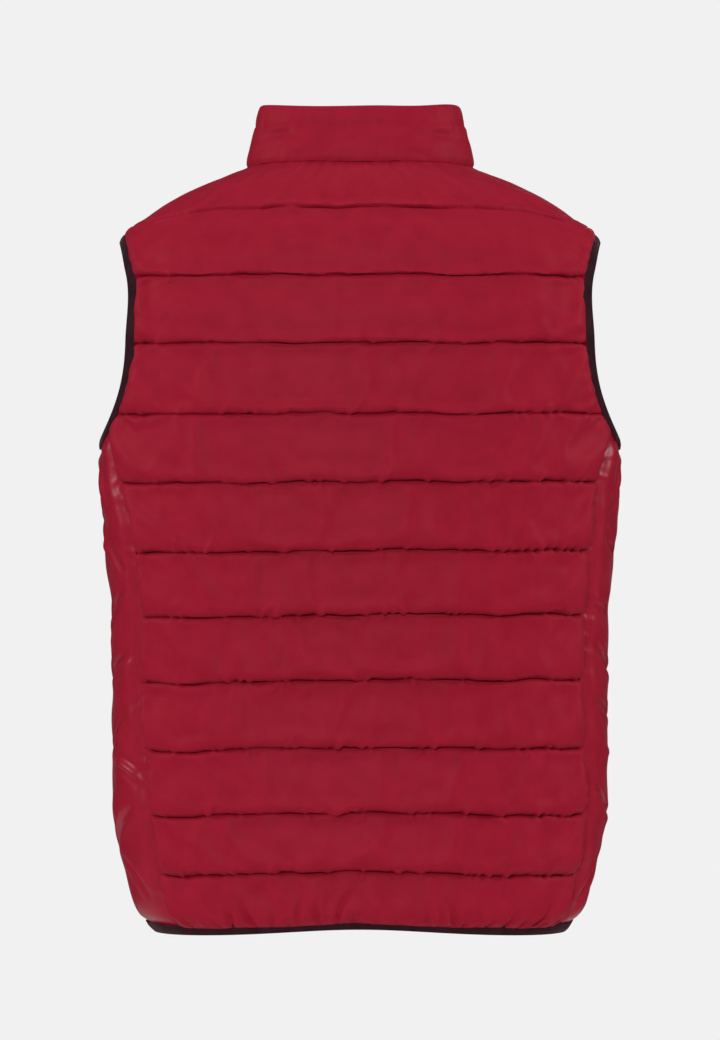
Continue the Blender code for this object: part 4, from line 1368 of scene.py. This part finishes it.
    def build(self) -> bpy.types.Object:
        """Makes the panel: net, pillows, settling, rounding, tucks and inner skin."""
        net = net_of(outline_of(self.runs, self.cell), self.cell, STITCH_ROWS, Quilting(self.seed))
        spots = FORM.spots(net.flat)
        base, normal = FORM.place(*spots.T), FORM.normal(*spots.T)
        rise = self.rise(net)
        covered = 1 - smoothstep((net.lapped_away - CUT.edging_lap) / 0.002)
        drawn_in = self.drawn_in(net)
        start = base + normal * (WALL * (1 - 0.5 * covered) + rise)[:, None]
        start -= normal * drawn_in[:, None]
        held = np.where(net.on_edge | net.on_row, 1.0, 0.0)
        settled = self.settling.run(start, net.faces, held)
        skin = subdivided(net, settled, net.on_row)
        fine = skin.body
        clear = smoothstep((skin.lapped_away - CUT.edging_lap) / self.clear_reach)
        out = FORM.normal(*FORM.spots(fine.flat).T)
        fine.points += out * (tuck_heights(fine.flat, self.edge_tucks(net)) * clear)[:, None]
        fine.points += skin.normals * (tuck_heights(fine.flat, self.pucker_tucks(net)) * clear)[:, None]
        inner = base - normal * (WALL * 0.8 + self.inner_share * rise + drawn_in)[:, None]
        obj = object_of(self.name, closed(net, skin, inner), SHELL_TAFFETA)
        publish(obj, "shell", self.node)
        return obj


def mirrored(run: np.ndarray) -> np.ndarray:
    """A run on the wearer's other side, turned to run the other way."""
    return run[::-1] * (-1, 1)


def on_side(runs: list[np.ndarray], side: Wearer) -> list[np.ndarray]:
    """Runs in left coordinates, put on their own side."""
    return runs if side is Wearer.LEFT else [mirrored(run) for run in reversed(runs)]


def hem_run(first: float, last: float) -> np.ndarray:
    """The tucked-in hem between two shares."""
    return np.column_stack([np.linspace(first, last, 60), np.full(60, TUCKED_HEM)])


def back_runs() -> list[np.ndarray]:
    """The back's edge, anticlockwise from the middle of its hem."""
    halves = []
    for side in Wearer:
        seam = CUT.seam(CUT.back_seam, side.value, 1, TUCKED_HEM)[::-1]
        turns = arc(CUT.back_seam_turn, CUT.shoulder_seam_turn)
        armhole = CUT.armhole(turns, CUT.edging_width - CUT.edging_lap)
        neck = CUT.neck(arc(CUT.shoulder_turn(), 0.0))
        half = [hem_run(0.0, seam[0, 0]), seam, armhole, CUT.shoulder()[::-1], neck]
        halves.append(on_side(half, side))
    return [*halves[0], *halves[1]]


def front_runs(side: Wearer) -> list[np.ndarray]:
    """A front's edge, from the neck down the zip, round the hem and up to the neck."""
    zip_edge = CUT.zip_line(TUCKED_HEM)
    seam = CUT.seam(CUT.front_seam, side.value, -1, TUCKED_HEM)[::-1]
    turns = arc(CUT.front_seam_turn, 2 * pi + CUT.shoulder_seam_turn)
    armhole = CUT.armhole(turns, CUT.edging_width - CUT.edging_lap)
    neck = CUT.neck(arc(CUT.shoulder_turn(), CUT.neck_end_turn()))
    runs = [zip_edge, hem_run(zip_edge[-1, 0], seam[0, 0]), seam, armhole, CUT.shoulder()[::-1], neck]
    return on_side(runs, side)


# --- Side panels ------------------------------------------------------------------------------------


class Fold(NamedTuple):
    """A fold of a side panel: shares of the panel's width from its back seam, and levels, at its two ends."""

    from_share: float
    from_level: float
    to_share: float
    to_level: float
    width: float
    height: float
    bow: float = 0.0


@dataclass
class SidePanel:
    """A plain side panel, a thin shell with soft wrinkles."""

    side: Wearer
    folds: tuple[Fold, ...]
    seed: int
    flat_size: tuple[float, float]
    flat_area: float
    cell: float = 0.0040
    thickness: float = 0.0008
    ripple: float = 0.0007
    lap: float = 0.0020
    # How far the cloth stands out at its seams, how much further in its middle, and how far it sinks in
    # under its neighbours' edges.
    seat: float = 0.0006
    fullness: float = 0.0016
    tuck_under: float = 0.0034
    fold_depth: float = 1.9

    def seams(self) -> tuple[np.ndarray, np.ndarray]:
        """The back and the front seam, from the armhole down."""
        side = self.side.value
        return CUT.seam(CUT.back_seam, side, 1, TUCKED_HEM), CUT.seam(CUT.front_seam, side, -1, TUCKED_HEM)

    def tucks(self) -> list[Tuck]:
        """The folds laid flat."""
        back, front = self.seams()
        tucks = []
        for fold in self.folds:
            ends = []
            for share, level in ((fold.from_share, fold.from_level), (fold.to_share, fold.to_level)):
                first = np.interp(-level, -back[:, 1], back[:, 0])
                last = np.interp(-level, -front[:, 1], front[:, 0])
                spot = np.array([[self.side.value * (first + (last - first) * share), level]])
                ends.append(tuple(FORM.flat(spot)[0]))
            depth = -fold.height * self.fold_depth
            tucks.append(Tuck(ends[0], ends[1], fold.width, depth, fold.bow * self.side.value))
        return tucks

    def build(self) -> bpy.types.Object:
        """Makes the panel as a thin shell."""
        back, front = self.seams()
        turns = arc(CUT.front_seam_turn, CUT.back_seam_turn, 60)
        armhole = CUT.armhole(turns, CUT.edging_width - CUT.edging_lap)
        under = np.array([self.lap / Form.FLAT_HALF_GIRTH, 0])
        runs = [hem_run(back[-1, 0], front[-1, 0]), front[::-1] + under, armhole, back - under]
        quilting = Quilting(self.seed, wander=0.0, kinks=0.0, tilt=0.0, yoke_drop=0.0)
        net = net_of(outline_of(on_side(runs, self.side), self.cell), self.cell, (), quilting)
        spots = FORM.spots(net.flat)
        base, normal = FORM.place(*spots.T), FORM.normal(*spots.T)
        edge = smoothstep((net.away - self.lap) / 0.010)
        tucked = 1 - smoothstep((net.away - 2 * self.lap) / 0.008)
        ripple = self.ripple * Ripple(self.seed, 0.022, 0.07).at(net.flat)
        rise = self.seat + self.fullness * edge + ripple * edge
        rise -= self.tuck_under * tucked * smoothstep(net.lapped_away / 0.008)
        skin = subdivided(net, base + normal * rise[:, None], net.on_row)
        fine = skin.body
        folds = tuck_heights(fine.flat, [*self.tucks(), *self.edge_tucks(net)])
        clear = smoothstep((skin.lapped_away - CUT.edging_lap) / 0.005)
        fine.points += skin.normals * (folds * clear)[:, None]
        inner = fine.points - skin.normals * self.thickness
        word = self.side.name.lower()
        obj = object_of(f"side_cloth_{word}", lined(fine, inner), SIDE_TAFFETA)
        publish(obj, "side_cloth", f"side_panel_{word}")
        return obj

    def edge_tucks(self, net: Net) -> list[Tuck]:
        """Small tucks along the seams and the gathered hem."""
        draw = np.random.default_rng(self.seed + 9)
        distance = distance_along(net.outline)
        tucks, place = [], 0.003
        while place < distance[-1]:
            here, way, inward = edge_spot(net.outline, distance, place)
            end = here + (inward + way * draw.uniform(-0.8, 0.8)) * draw.uniform(0.006, 0.018)
            width, depth = draw.uniform(0.0018, 0.0032), draw.uniform(0.0004, 0.0011)
            tucks.append(Tuck(tuple(here), tuple(end), width, depth, 0.0, Fade.FAR_END))
            place += draw.uniform(0.009, 0.026)
        return tucks


LEFT_FOLDS = (
    Fold(0.56, -0.315, 0.08, -0.366, 0.0040, 0.0016, 0.05),
    Fold(0.08, -0.378, 0.52, -0.430, 0.0036, 0.0018, -0.06),
    Fold(0.22, -0.392, 0.46, -0.420, 0.0026, -0.0010, 0.04),
    Fold(0.06, -0.436, 0.54, -0.472, 0.0038, 0.0018, -0.08),
    Fold(0.14, -0.486, 0.50, -0.524, 0.0036, 0.0015, 0.05),
    Fold(0.30, -0.530, 0.04, -0.546, 0.0032, -0.0018, 0.10),
    Fold(0.10, -0.568, 0.54, -0.618, 0.0042, 0.0019, -0.05),
    Fold(0.34, -0.612, 0.10, -0.648, 0.0034, 0.0012, 0.06),
    Fold(0.44, -0.338, 0.28, -0.350, 0.0030, -0.0010),
    Fold(0.60, -0.352, 0.94, -0.402, 0.0042, 0.0016, 0.05),
    Fold(0.52, -0.455, 0.92, -0.508, 0.0040, 0.0015, -0.06),
    Fold(0.94, -0.566, 0.50, -0.632, 0.0044, 0.0016, 0.04),
    Fold(0.72, -0.420, 0.96, -0.438, 0.0034, -0.0012),
    Fold(0.30, -0.268, 0.24, -0.312, 0.0048, -0.0013),
    Fold(0.66, -0.266, 0.72, -0.318, 0.0050, -0.0013),
)
RIGHT_FOLDS = (
    Fold(0.50, -0.266, 0.14, -0.316, 0.0042, 0.0015, -0.05),
    Fold(0.10, -0.330, 0.44, -0.352, 0.0034, 0.0013, 0.04),
    Fold(0.08, -0.424, 0.56, -0.456, 0.0038, 0.0019, 0.06),
    Fold(0.10, -0.476, 0.54, -0.500, 0.0034, 0.0016, -0.05),
    Fold(0.34, -0.398, 0.06, -0.386, 0.0032, -0.0012),
    Fold(0.08, -0.550, 0.52, -0.580, 0.0038, 0.0017, 0.05),
    Fold(0.56, -0.606, 0.06, -0.664, 0.0044, 0.0020, 0.13),
    Fold(0.40, -0.520, 0.16, -0.534, 0.0030, -0.0012, 0.06),
    Fold(0.50, -0.372, 0.96, -0.418, 0.0042, 0.0016, 0.05),
    Fold(0.92, -0.490, 0.48, -0.538, 0.0040, 0.0015, -0.05),
    Fold(0.50, -0.590, 0.92, -0.636, 0.0044, 0.0016, 0.06),
    Fold(0.94, -0.446, 0.68, -0.460, 0.0032, -0.0012),
    Fold(0.34, -0.266, 0.28, -0.306, 0.0046, -0.0013),
    Fold(0.70, -0.268, 0.78, -0.322, 0.0050, -0.0014),
)


# --- Collar -----------------------------------------------------------------------------------------


class CollarFold(NamedTuple):
    """A soft drag: shares of the collar's length from its middle and of its height, at its two ends."""

    from_share: float
    from_height: float
    to_share: float
    to_height: float
    width: float
    depth: float


@dataclass
class StandCollar:
    """The stand collar: a deep soft roll, a topstitched row, and a narrow roll above it."""

    height: float = 0.048
    side_rise: float = 0.004
    lean_back: float = 0.014
    lean_side: float = 0.012
    lean_front: float = 0.003
    columns: int = 231
    stitched: float = 0.67
    puff: float = 0.0015
    top_puff: float = 0.0009
    inner_puff: float = 0.0014
    sway: float = 0.0007
    puff_vary: float = 0.12
    fuzz: float = 0.0003
    end_fade: float = 0.012
    # Shares of the height at which the outer skin starts, inside the neck seam, and at which the rim does.
    foot: float = -0.035
    rim_from: float = 0.985
    # The rim's points: shares of the height, and of the wall's half from out to in.
    rim: tuple[tuple[float, float], ...] = ((1.012, 0.5), (1.016, -0.1), (1.008, -0.7))
    seed: int = 71
    # The right side's folds are a little fainter than the left side's.
    right_depth: float = 0.8
    folds: tuple[CollarFold, ...] = (
        CollarFold(0.222, 0.26, 0.110, 0.58, 0.0038, 0.0024),
        CollarFold(0.215, 0.62, 0.090, 0.44, 0.0034, 0.0018),
        CollarFold(0.218, 0.10, 0.135, 0.34, 0.0030, 0.0016),
        CollarFold(0.400, 0.10, 0.345, 0.55, 0.0036, 0.0013),
        CollarFold(0.120, 0.04, 0.060, 0.20, 0.0030, 0.0008),
    )

    def profile(self, share: np.ndarray) -> np.ndarray:
        """How far the outer skin stands out at shares of the collar's height."""
        low = np.sin(pi * np.clip(share / self.stitched, 0, 1) ** 0.8) ** 0.5 * self.puff
        top = np.clip((share - self.stitched) / (1 - self.stitched), 0, 1)
        return np.where(share < self.stitched, low, np.sin(pi * top**0.9) ** 0.7 * self.top_puff)

    def frame(self, turn: np.ndarray) -> tuple[np.ndarray, np.ndarray, np.ndarray]:
        """The neckline's points, the way up the collar and the way out of it."""
        side = np.where(turn < 0, -1.0, 1.0)
        cosine, sine = np.cos(turn), np.sin(np.abs(turn))
        base = FORM.place(*CUT.neck(np.abs(turn)).T)
        depth = np.where(cosine > 0, CUT.neck_back, CUT.neck_front)
        plan = unit(np.column_stack([sine * depth, cosine * CUT.neck_half_width, np.zeros(len(turn))]))
        lean_middle = np.where(cosine > 0, self.lean_back, self.lean_front)
        lean = self.lean_side + (lean_middle - self.lean_side) * cosine**2
        height = self.height + self.side_rise * sine**2
        up = np.array([0, 0, 1.0])
        rise = height[:, None] * up - plan * lean[:, None]
        out = unit(plan + (lean / height)[:, None] * up)
        flip = np.column_stack([side, np.ones(len(turn)), np.ones(len(turn))])
        return base * flip, rise * flip, out * flip

    def ways(self) -> list[tuple[float, float]]:
        """The section: shares of the height up the outside, over the rim and down the inside.

        Returns:
            Each share, with 1 for the outer skin, -1 for the inner one, and a share between on the rim.
        """
        low = np.linspace(self.foot, self.stitched, 14)
        high = np.linspace(self.stitched, self.rim_from, 7)[1:]
        outer = [(share, 1) for share in np.concatenate([low, high])]
        return [*outer, *self.rim, *[(share, -1) for share in np.linspace(self.rim_from, 0.0, 15)]]

    def build(self) -> bpy.types.Object:
        """Makes the collar as one padded body."""
        end = CUT.neck_end_turn()
        turn = np.linspace(end, -end, self.columns)
        base, rise, out = self.frame(turn)
        along = distance_along(base)
        ends = smoothstep(np.minimum(along, along[-1] - along) / self.end_fade) ** 0.5
        height = np.linalg.norm(rise, axis=1)
        ways = self.ways()
        sway = Ripple(self.seed, 0.05, 0.14)
        fuzz = Ripple(self.seed + 1, 0.012, 0.035)
        tucks = self.tucks(along[-1])
        grid, flats = [], []
        for share, facing in ways:
            flat = np.column_stack([along, share * height])
            if facing == 1:
                lift = self.profile(np.array([share]))[0] * ends * (1 + self.puff_vary * sway.at(flat))
                lift = WALL * (1 if share > 0 else 0.3) + lift + self.fuzz * fuzz.at(flat) * ends
                lift += tuck_heights(flat, tucks) * ends
            else:
                lift = np.full(len(along), facing * WALL * 1.15)
                if facing == -1:
                    lift -= self.inner_puff * np.sin(pi * min(share, 1)) ** 0.7 * ends
            wave = self.sway * sway.at(flat) * share
            grid.append(base + rise * (share + wave / height)[:, None] + out * lift[:, None])
            flats.append(flat if facing == 1 else flat * (1, -1) + (0, 2 * self.height))
        body = swept(grid, flats, tube_faces(self.columns, len(ways)))
        obj = object_of("stand_collar", body, SHELL_TAFFETA)
        publish(obj, "shell", "collar")
        return obj

    def tucks(self, length: float) -> list[Tuck]:
        """Small tucks at the neck seam and on both sides of the topstitching."""
        draw = np.random.default_rng(self.seed + 2)
        tucks = []
        for height, up in ((0.0, 1), (self.stitched * self.height, -1), (self.stitched * self.height, 1)):
            x = draw.uniform(0.004, 0.02)
            while x < length:
                reach = draw.uniform(0.005, 0.014) * up
                end = (x + draw.uniform(-0.006, 0.006), height + reach)
                width, depth = draw.uniform(0.0018, 0.0032), draw.uniform(0.0004, 0.0011)
                tucks.append(Tuck((x, height), end, width, depth, 0.0, Fade.FAR_END))
                x += draw.uniform(0.010, 0.034)
        for fold in self.folds:
            for side in Wearer:
                start = (length * (0.5 + side.value * fold.from_share), fold.from_height * self.height)
                end = (length * (0.5 + side.value * fold.to_share), fold.to_height * self.height)
                depth = fold.depth * (1 if side is Wearer.LEFT else self.right_depth)
                tucks.append(Tuck(start, end, fold.width, depth))
        return tucks


# --- Edgings ----------------------------------------------------------------------------------------


def gathers(seed: int, along: np.ndarray, counts: tuple[int, ...]) -> np.ndarray:
    """Uneven waves along an edging, each of a number of waves to the unit of its run.

    Args:
        seed: What sets the waves apart from another edging's.
        along: Places along the edging.
        counts: The waves' numbers.

    Returns:
        The waves' sum at each place.
    """
    draw = np.random.default_rng(seed)
    return sum(draw.uniform(0.4, 1) * np.sin(k * along + draw.uniform(0, 2 * pi)) for k in counts)


@dataclass(frozen=True)
class FoldedBand:
    """The section of an edging: elastic folded over the cloth's edge."""

    width: float
    half_depth: float = 0.0020
    thickness: float = 0.0006
    fold_radius: float = 0.0016
    steps: int = 5

    def section(self) -> np.ndarray:
        """Its outline, as distances in from the fold and outwards, round outside first and back inside."""
        lips = np.linspace(self.width, self.fold_radius, self.steps)
        bulge = self.half_depth * (0.75 + 0.35 * np.sin(pi * np.linspace(0.1, 0.9, self.steps)))
        turn = np.linspace(pi / 2, -pi / 2, 7)[1:-1]
        inward = self.fold_radius - self.fold_radius * np.cos(turn)
        fold = np.column_stack([inward, np.sin(turn) * self.half_depth * 0.9])
        outside = np.concatenate(
            [np.column_stack([lips, bulge]), fold, np.column_stack([lips, -bulge])[::-1]]
        )
        after, before = np.roll(outside, -1, axis=0), np.roll(outside, 1, axis=0)
        after[-1], before[0] = outside[-1], outside[0]
        way = unit(after - before)
        inside = outside + np.column_stack([-way[:, 1], way[:, 0]]) * self.thickness
        return np.concatenate([outside, inside[::-1]])


# How far apart the runs of an edging's section lie on its cloth map.
MAP_STEP = 0.001


@dataclass
class ArmholeEdging:
    """The folded elastic round an armhole."""

    side: Wearer
    seed: int
    columns: int = 260
    flat_size: tuple[float, float] = (0.0175, 0.540)
    wave: float = 0.0009
    swelling: float = 0.10

    def build(self) -> bpy.types.Object:
        """Makes the edging, a closed loop."""
        turn = np.linspace(0, 2 * pi, self.columns, endpoint=False)
        section = FoldedBand(CUT.edging_width + 0.0002).section()
        waves = gathers(self.seed, turn, (9, 14, 23, 31, 47))
        grid, flats = [], []
        length = np.linspace(0, self.flat_size[1], self.columns)
        for index, (inward, out) in enumerate(section):
            lip = smoothstep(np.array([(inward - 0.004) / 0.005]))[0]
            spots = CUT.armhole(turn, inward + self.wave * waves * lip * 0.5)
            swell = 1 + self.swelling * waves * lip
            grid.append(FORM.place(*spots.T) + FORM.normal(*spots.T) * (out * swell)[:, None])
            flats.append(np.column_stack([length, np.full(self.columns, index * MAP_STEP)]))
        body = swept(grid, flats, grid_faces(self.columns, len(section), True, True))
        if self.side is Wearer.RIGHT:
            body.points = body.points * (-1, 1, 1)
            body.faces = [tuple(reversed(face)) for face in body.faces]
        word = self.side.name.lower()
        obj = object_of(f"armhole_edging_{word}", body, ELASTIC_KNIT)
        publish(obj, "binding", f"binding_armhole_{word}")
        return obj


@dataclass
class HemEdging:
    """The folded elastic under the hem, open at the zip, gathering the cloth above it."""

    seed: int = 91
    columns: int = 420
    height: float = 0.0066
    flat_size: tuple[float, float] = (0.0240, 0.954)
    wave: float = 0.0010
    swelling: float = 0.08

    def build(self) -> bpy.types.Object:
        """Makes the edging."""
        low = HEM_LEVEL - self.height
        section = FoldedBand(self.height + CUT.edging_lap, 0.0024).section()
        girth = np.interp(low, FORM.levels, FORM.half_girth)
        end = 1 - CUT.zip_edge / girth
        share = np.linspace(-end, end, self.columns)
        waves = gathers(self.seed, share, (17, 29, 43, 71, 103))
        length = np.linspace(0, self.flat_size[1], self.columns)
        grid, flats = [], []
        for index, (inward, out) in enumerate(section):
            lip = smoothstep(np.array([inward / self.height]))[0]
            level = low + inward + self.wave * waves * lip * 0.5
            swell = 1 + self.swelling * waves * lip
            grid.append(FORM.place(share, level) + FORM.normal(share, level) * (out * swell)[:, None])
            flats.append(np.column_stack([length, np.full(self.columns, index * MAP_STEP)]))
        body = swept(grid, flats, tube_faces(self.columns, len(section), flipped=True))
        obj = object_of("hem_edging", body, ELASTIC_KNIT)
        publish(obj, "binding", "binding_hem")
        return obj


# --- Zip --------------------------------------------------------------------------------------------


@dataclass
class FrontZip:
    """The zip's woven tapes and nylon coil. Its slider, pull tab and stops keep their solid shapes."""

    tape_inner: float = 0.0010
    tape_outer: float = 0.0150
    tape_half_depth: float = 0.0004
    hem_reach: float = 0.0080
    collar_reach: float = 0.046
    collar_lean: float = 0.003
    tooth_pitch: float = 0.0024
    tooth_radius: float = 0.00062
    tooth_lift: float = 0.0009
    # An element's oval, as shares of its radius up the zip and out of it.
    tooth_oval: tuple[float, float] = (0.9, 1.15)
    # How far the coil's first and last elements lie inside the solid row's ends.
    end_gaps: tuple[float, float] = (0.001, 0.0006)
    tooth_sides: int = 8
    # Each element's profile: how far across the middle, towards its own tape, and its share of the radius.
    tooth_profile: tuple[tuple[float, float], ...] = (
        (0.0031, 0.35),
        (0.0029, 0.9),
        (0.0015, 1.0),
        (-0.0004, 1.0),
        (-0.0010, 0.7),
        (-0.0012, 0.2),
    )
    levels: int = 180

    def path(self) -> tuple[np.ndarray, np.ndarray, np.ndarray]:
        """The centre front's line, the way out of it and the distance along it."""
        top = FORM.level_under(np.array([0.0]), np.array([-CUT.neck_front]))[0]
        level = np.linspace(HEM_LEVEL - self.hem_reach, top, self.levels)
        depth = np.interp(level, FORM.levels, FORM.sections[:, 2])
        line = np.column_stack([np.zeros(self.levels), -depth, level])
        share = np.linspace(0, 1, 14)[1:, None]
        line = np.concatenate([line, line[-1] + share * np.array([0, self.collar_lean, self.collar_reach])])
        way = unit(np.gradient(line, axis=0))
        out = np.column_stack([np.zeros(len(line)), -way[:, 2], way[:, 1]])
        return line, out, distance_along(line)

    def build(self) -> None:
        """Makes the tapes and the coil."""
        for side in Wearer:
            self.tape(side)
        self.coil()

    def tape(self, side: Wearer) -> None:
        """Makes one tape, which reaches under its half of the coil."""
        line, out, distance = self.path()
        xs = np.linspace(self.tape_inner, self.tape_outer, 7)
        half = np.full(len(xs), self.tape_half_depth)
        section = np.concatenate([np.column_stack([xs, half]), np.column_stack([xs, -half])[::-1]])
        grid = [line + np.array([side.value * x, 0, 0]) + out * depth for x, depth in section]
        flats = [np.column_stack([np.full(len(line), x), distance]) for x, _ in section]
        faces = tube_faces(len(line), len(section), flipped=side is Wearer.RIGHT)
        word = side.name.lower()
        obj = object_of(f"woven_tape_{word}", swept(grid, flats, faces), ZIP_TAPE)
        publish(obj, "zip_tape", f"zip_tape_{word}")

    def coil(self) -> None:
        """Makes the closed coil's elements, which reach across from each tape by turns."""
        line, out, distance = self.path()
        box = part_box("zip_chain")
        ends = (box[0][2] + self.end_gaps[0], box[1][2] - self.end_gaps[1])
        low, high = (np.interp(level, line[:, 2], distance) for level in ends)
        angle = np.linspace(0, 2 * pi, self.tooth_sides, endpoint=False)
        points, faces = [], []
        for index, place in enumerate(np.arange(low, high, self.tooth_pitch / 2)):
            side = 1 if index % 2 else -1
            centre, outward = at_distance(line, distance, place), at_distance(out, distance, place)
            centre = centre + outward * self.tooth_lift
            up = np.cross(outward, (1, 0, 0))
            ring = np.cos(angle)[:, None] * up * self.tooth_oval[0]
            ring = ring + np.sin(angle)[:, None] * outward * self.tooth_oval[1]
            first = len(points)
            for x, swell in self.tooth_profile:
                points += list(centre + np.array([side * x, 0, 0]) + ring * self.tooth_radius * swell)
            faces += tube_faces(len(self.tooth_profile), self.tooth_sides, side > 0, first)
        points = np.array(points)
        obj = object_of("nylon_coil", Body(points, faces, points[:, [0, 2]]), NYLON_COIL)
        publish(obj, "zip_teeth", "zip_chain")


def dress_metal() -> None:
    """Gives the slider, the pull tab and the stops their enamel."""
    for node in ("zip_slider", "zip_pull", "zip_stop_bottom", "zip_stop_left", "zip_stop_right"):
        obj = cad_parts[node]
        for slot in obj.material_slots:
            slot.material = FINISHES.get(ENAMELLED_ZINC)


# --- Studio -----------------------------------------------------------------------------------------


@dataclass(frozen=True)
class SoftBox:
    """A square light that faces a point of the vest."""

    name: str
    place: tuple[float, float, float]
    size: float
    power: float
    mirrored: bool = True

    def build(self, target: Vector) -> None:
        """Makes the light."""
        light = bpy.data.lights.new(self.name, "AREA")
        light.shape = "SQUARE"
        light.size = self.size
        light.energy = self.power
        obj = linked(self.name, light)
        obj.location = self.place
        obj.rotation_euler = (target - Vector(self.place)).to_track_quat("-Z", "Y").to_euler()
        obj.visible_glossy = self.mirrored


@dataclass(frozen=True)
class Studio:
    """The camera behind the vest, the soft lights, the pale surroundings and the floor."""

    camera_distance: float = 3.63
    eye_level: float = -0.320
    lens: float = 138.9
    backdrop: str = "#F1F1F1"
    fill: float = 0.30
    overhead: float = 0.28
    floor_level: float = -1.2
    floor_radius: float = 2.5
    floor_colour: str = "#EDEDED"
    floor_fade: tuple[float, float] = (0.5, 2.2)
    boxes: tuple[SoftBox, ...] = (
        SoftBox("key_behind", (0.6, 4.6, 1.1), 1.6, 105.0),
        SoftBox("key_before", (-1.0, -4.6, 1.1), 1.6, 120.0, False),
        SoftBox("side_left", (2.8, 0.5, 0.8), 0.8, 31.0),
        SoftBox("side_right", (-2.8, 0.5, 0.8), 0.8, 36.0),
        SoftBox("top", (0.0, 0.1, 2.3), 1.2, 10.0),
    )

    def build(self) -> None:
        """Makes the studio."""
        self.camera()
        self.world()
        self.floor()
        target = Vector((0, 0, self.eye_level))
        for box in self.boxes:
            box.build(target)

    def camera(self) -> None:
        """Makes the camera, level and square to the back."""
        data = bpy.data.cameras.new("camera")
        data.lens = self.lens
        data.clip_end = 50
        obj = linked("camera", data)
        obj.location = (0, self.camera_distance, self.eye_level)
        obj.rotation_euler = (pi / 2, 0, pi)
        bpy.context.scene.camera = obj

    def world(self) -> None:
        """Lights the vest evenly and shows the backdrop's pale grey behind it."""
        world = bpy.data.worlds.new("studio")
        world.use_nodes = True
        tree = world.node_tree
        tree.nodes.clear()
        seen = add(tree, "ShaderNodeBackground", Color=linear(self.backdrop), Strength=1.0)
        way = add(tree, "ShaderNodeTexCoord").outputs["Generated"]
        height = add(tree, "ShaderNodeSeparateXYZ", Vector=way).outputs[2]
        strength = add(
            tree,
            "ShaderNodeMapRange",
            Value=height,
            From_Min=-1.0,
            From_Max=1.0,
            To_Min=self.fill * (1 - self.overhead),
            To_Max=self.fill * (1 + self.overhead),
        ).outputs[0]
        lit = add(tree, "ShaderNodeBackground", Color=(1, 1, 1, 1), Strength=strength)
        looked_at = add(tree, "ShaderNodeLightPath").outputs["Is Camera Ray"]
        mixed = add(tree, "ShaderNodeMixShader", i0=looked_at, i1=lit.outputs[0], i2=seen.outputs[0])
        add(tree, "ShaderNodeOutputWorld", Surface=mixed.outputs[0])
        bpy.context.scene.world = world
        world.cycles_visibility.glossy = False
        bpy.context.scene.view_settings.view_transform = "Standard"

    def floor(self) -> None:
        """Makes a pale round floor that fades out at its edge."""
        made = bmesh.new()
        bmesh.ops.create_circle(made, cap_ends=True, segments=96, radius=self.floor_radius)
        mesh = bpy.data.meshes.new("studio_floor")
        made.to_mesh(mesh)
        made.free()
        material, tree, shader = new_material("pale_studio_floor")
        here = add(tree, "ShaderNodeTexCoord").outputs["Object"]
        away = add(tree, "ShaderNodeVectorMath", {"operation": "LENGTH"}, i0=here).outputs["Value"]
        solid = add(
            tree,
            "ShaderNodeMapRange",
            {"interpolation_type": "SMOOTHSTEP"},
            Value=away,
            From_Min=self.floor_fade[0],
            From_Max=self.floor_fade[1],
            To_Min=1.0,
            To_Max=0.0,
        )
        shader.inputs["Base Color"].default_value = linear(self.floor_colour)
        shader.inputs["Roughness"].default_value = 0.9
        tree.links.new(solid.outputs[0], shader.inputs["Alpha"])
        mesh.materials.append(material)
        obj = linked("studio_floor", mesh)
        obj.location = (0, 0, self.floor_level)


def main() -> None:
    """Builds the vest and its studio."""
    logging.basicConfig(level=logging.INFO, format="%(name)s %(message)s")
    Studio().build()
    QuiltedPanel("quilted_back", "back", back_runs(), 11).build()
    for side, seed in ((Wearer.LEFT, 21), (Wearer.RIGHT, 31)):
        word = side.name.lower()
        QuiltedPanel(f"quilted_front_{word}", f"front_{word}", front_runs(side), seed).build()
    SidePanel(Wearer.LEFT, LEFT_FOLDS, 41, (0.152, 0.447), 0.0659).build()
    SidePanel(Wearer.RIGHT, RIGHT_FOLDS, 51, (0.144, 0.447), 0.0618).build()
    StandCollar().build()
    for side, seed in ((Wearer.LEFT, 61), (Wearer.RIGHT, 65)):
        ArmholeEdging(side, seed).build()
    HemEdging().build()
    FrontZip().build()
    dress_metal()


if __name__ == "__main__":
    main()
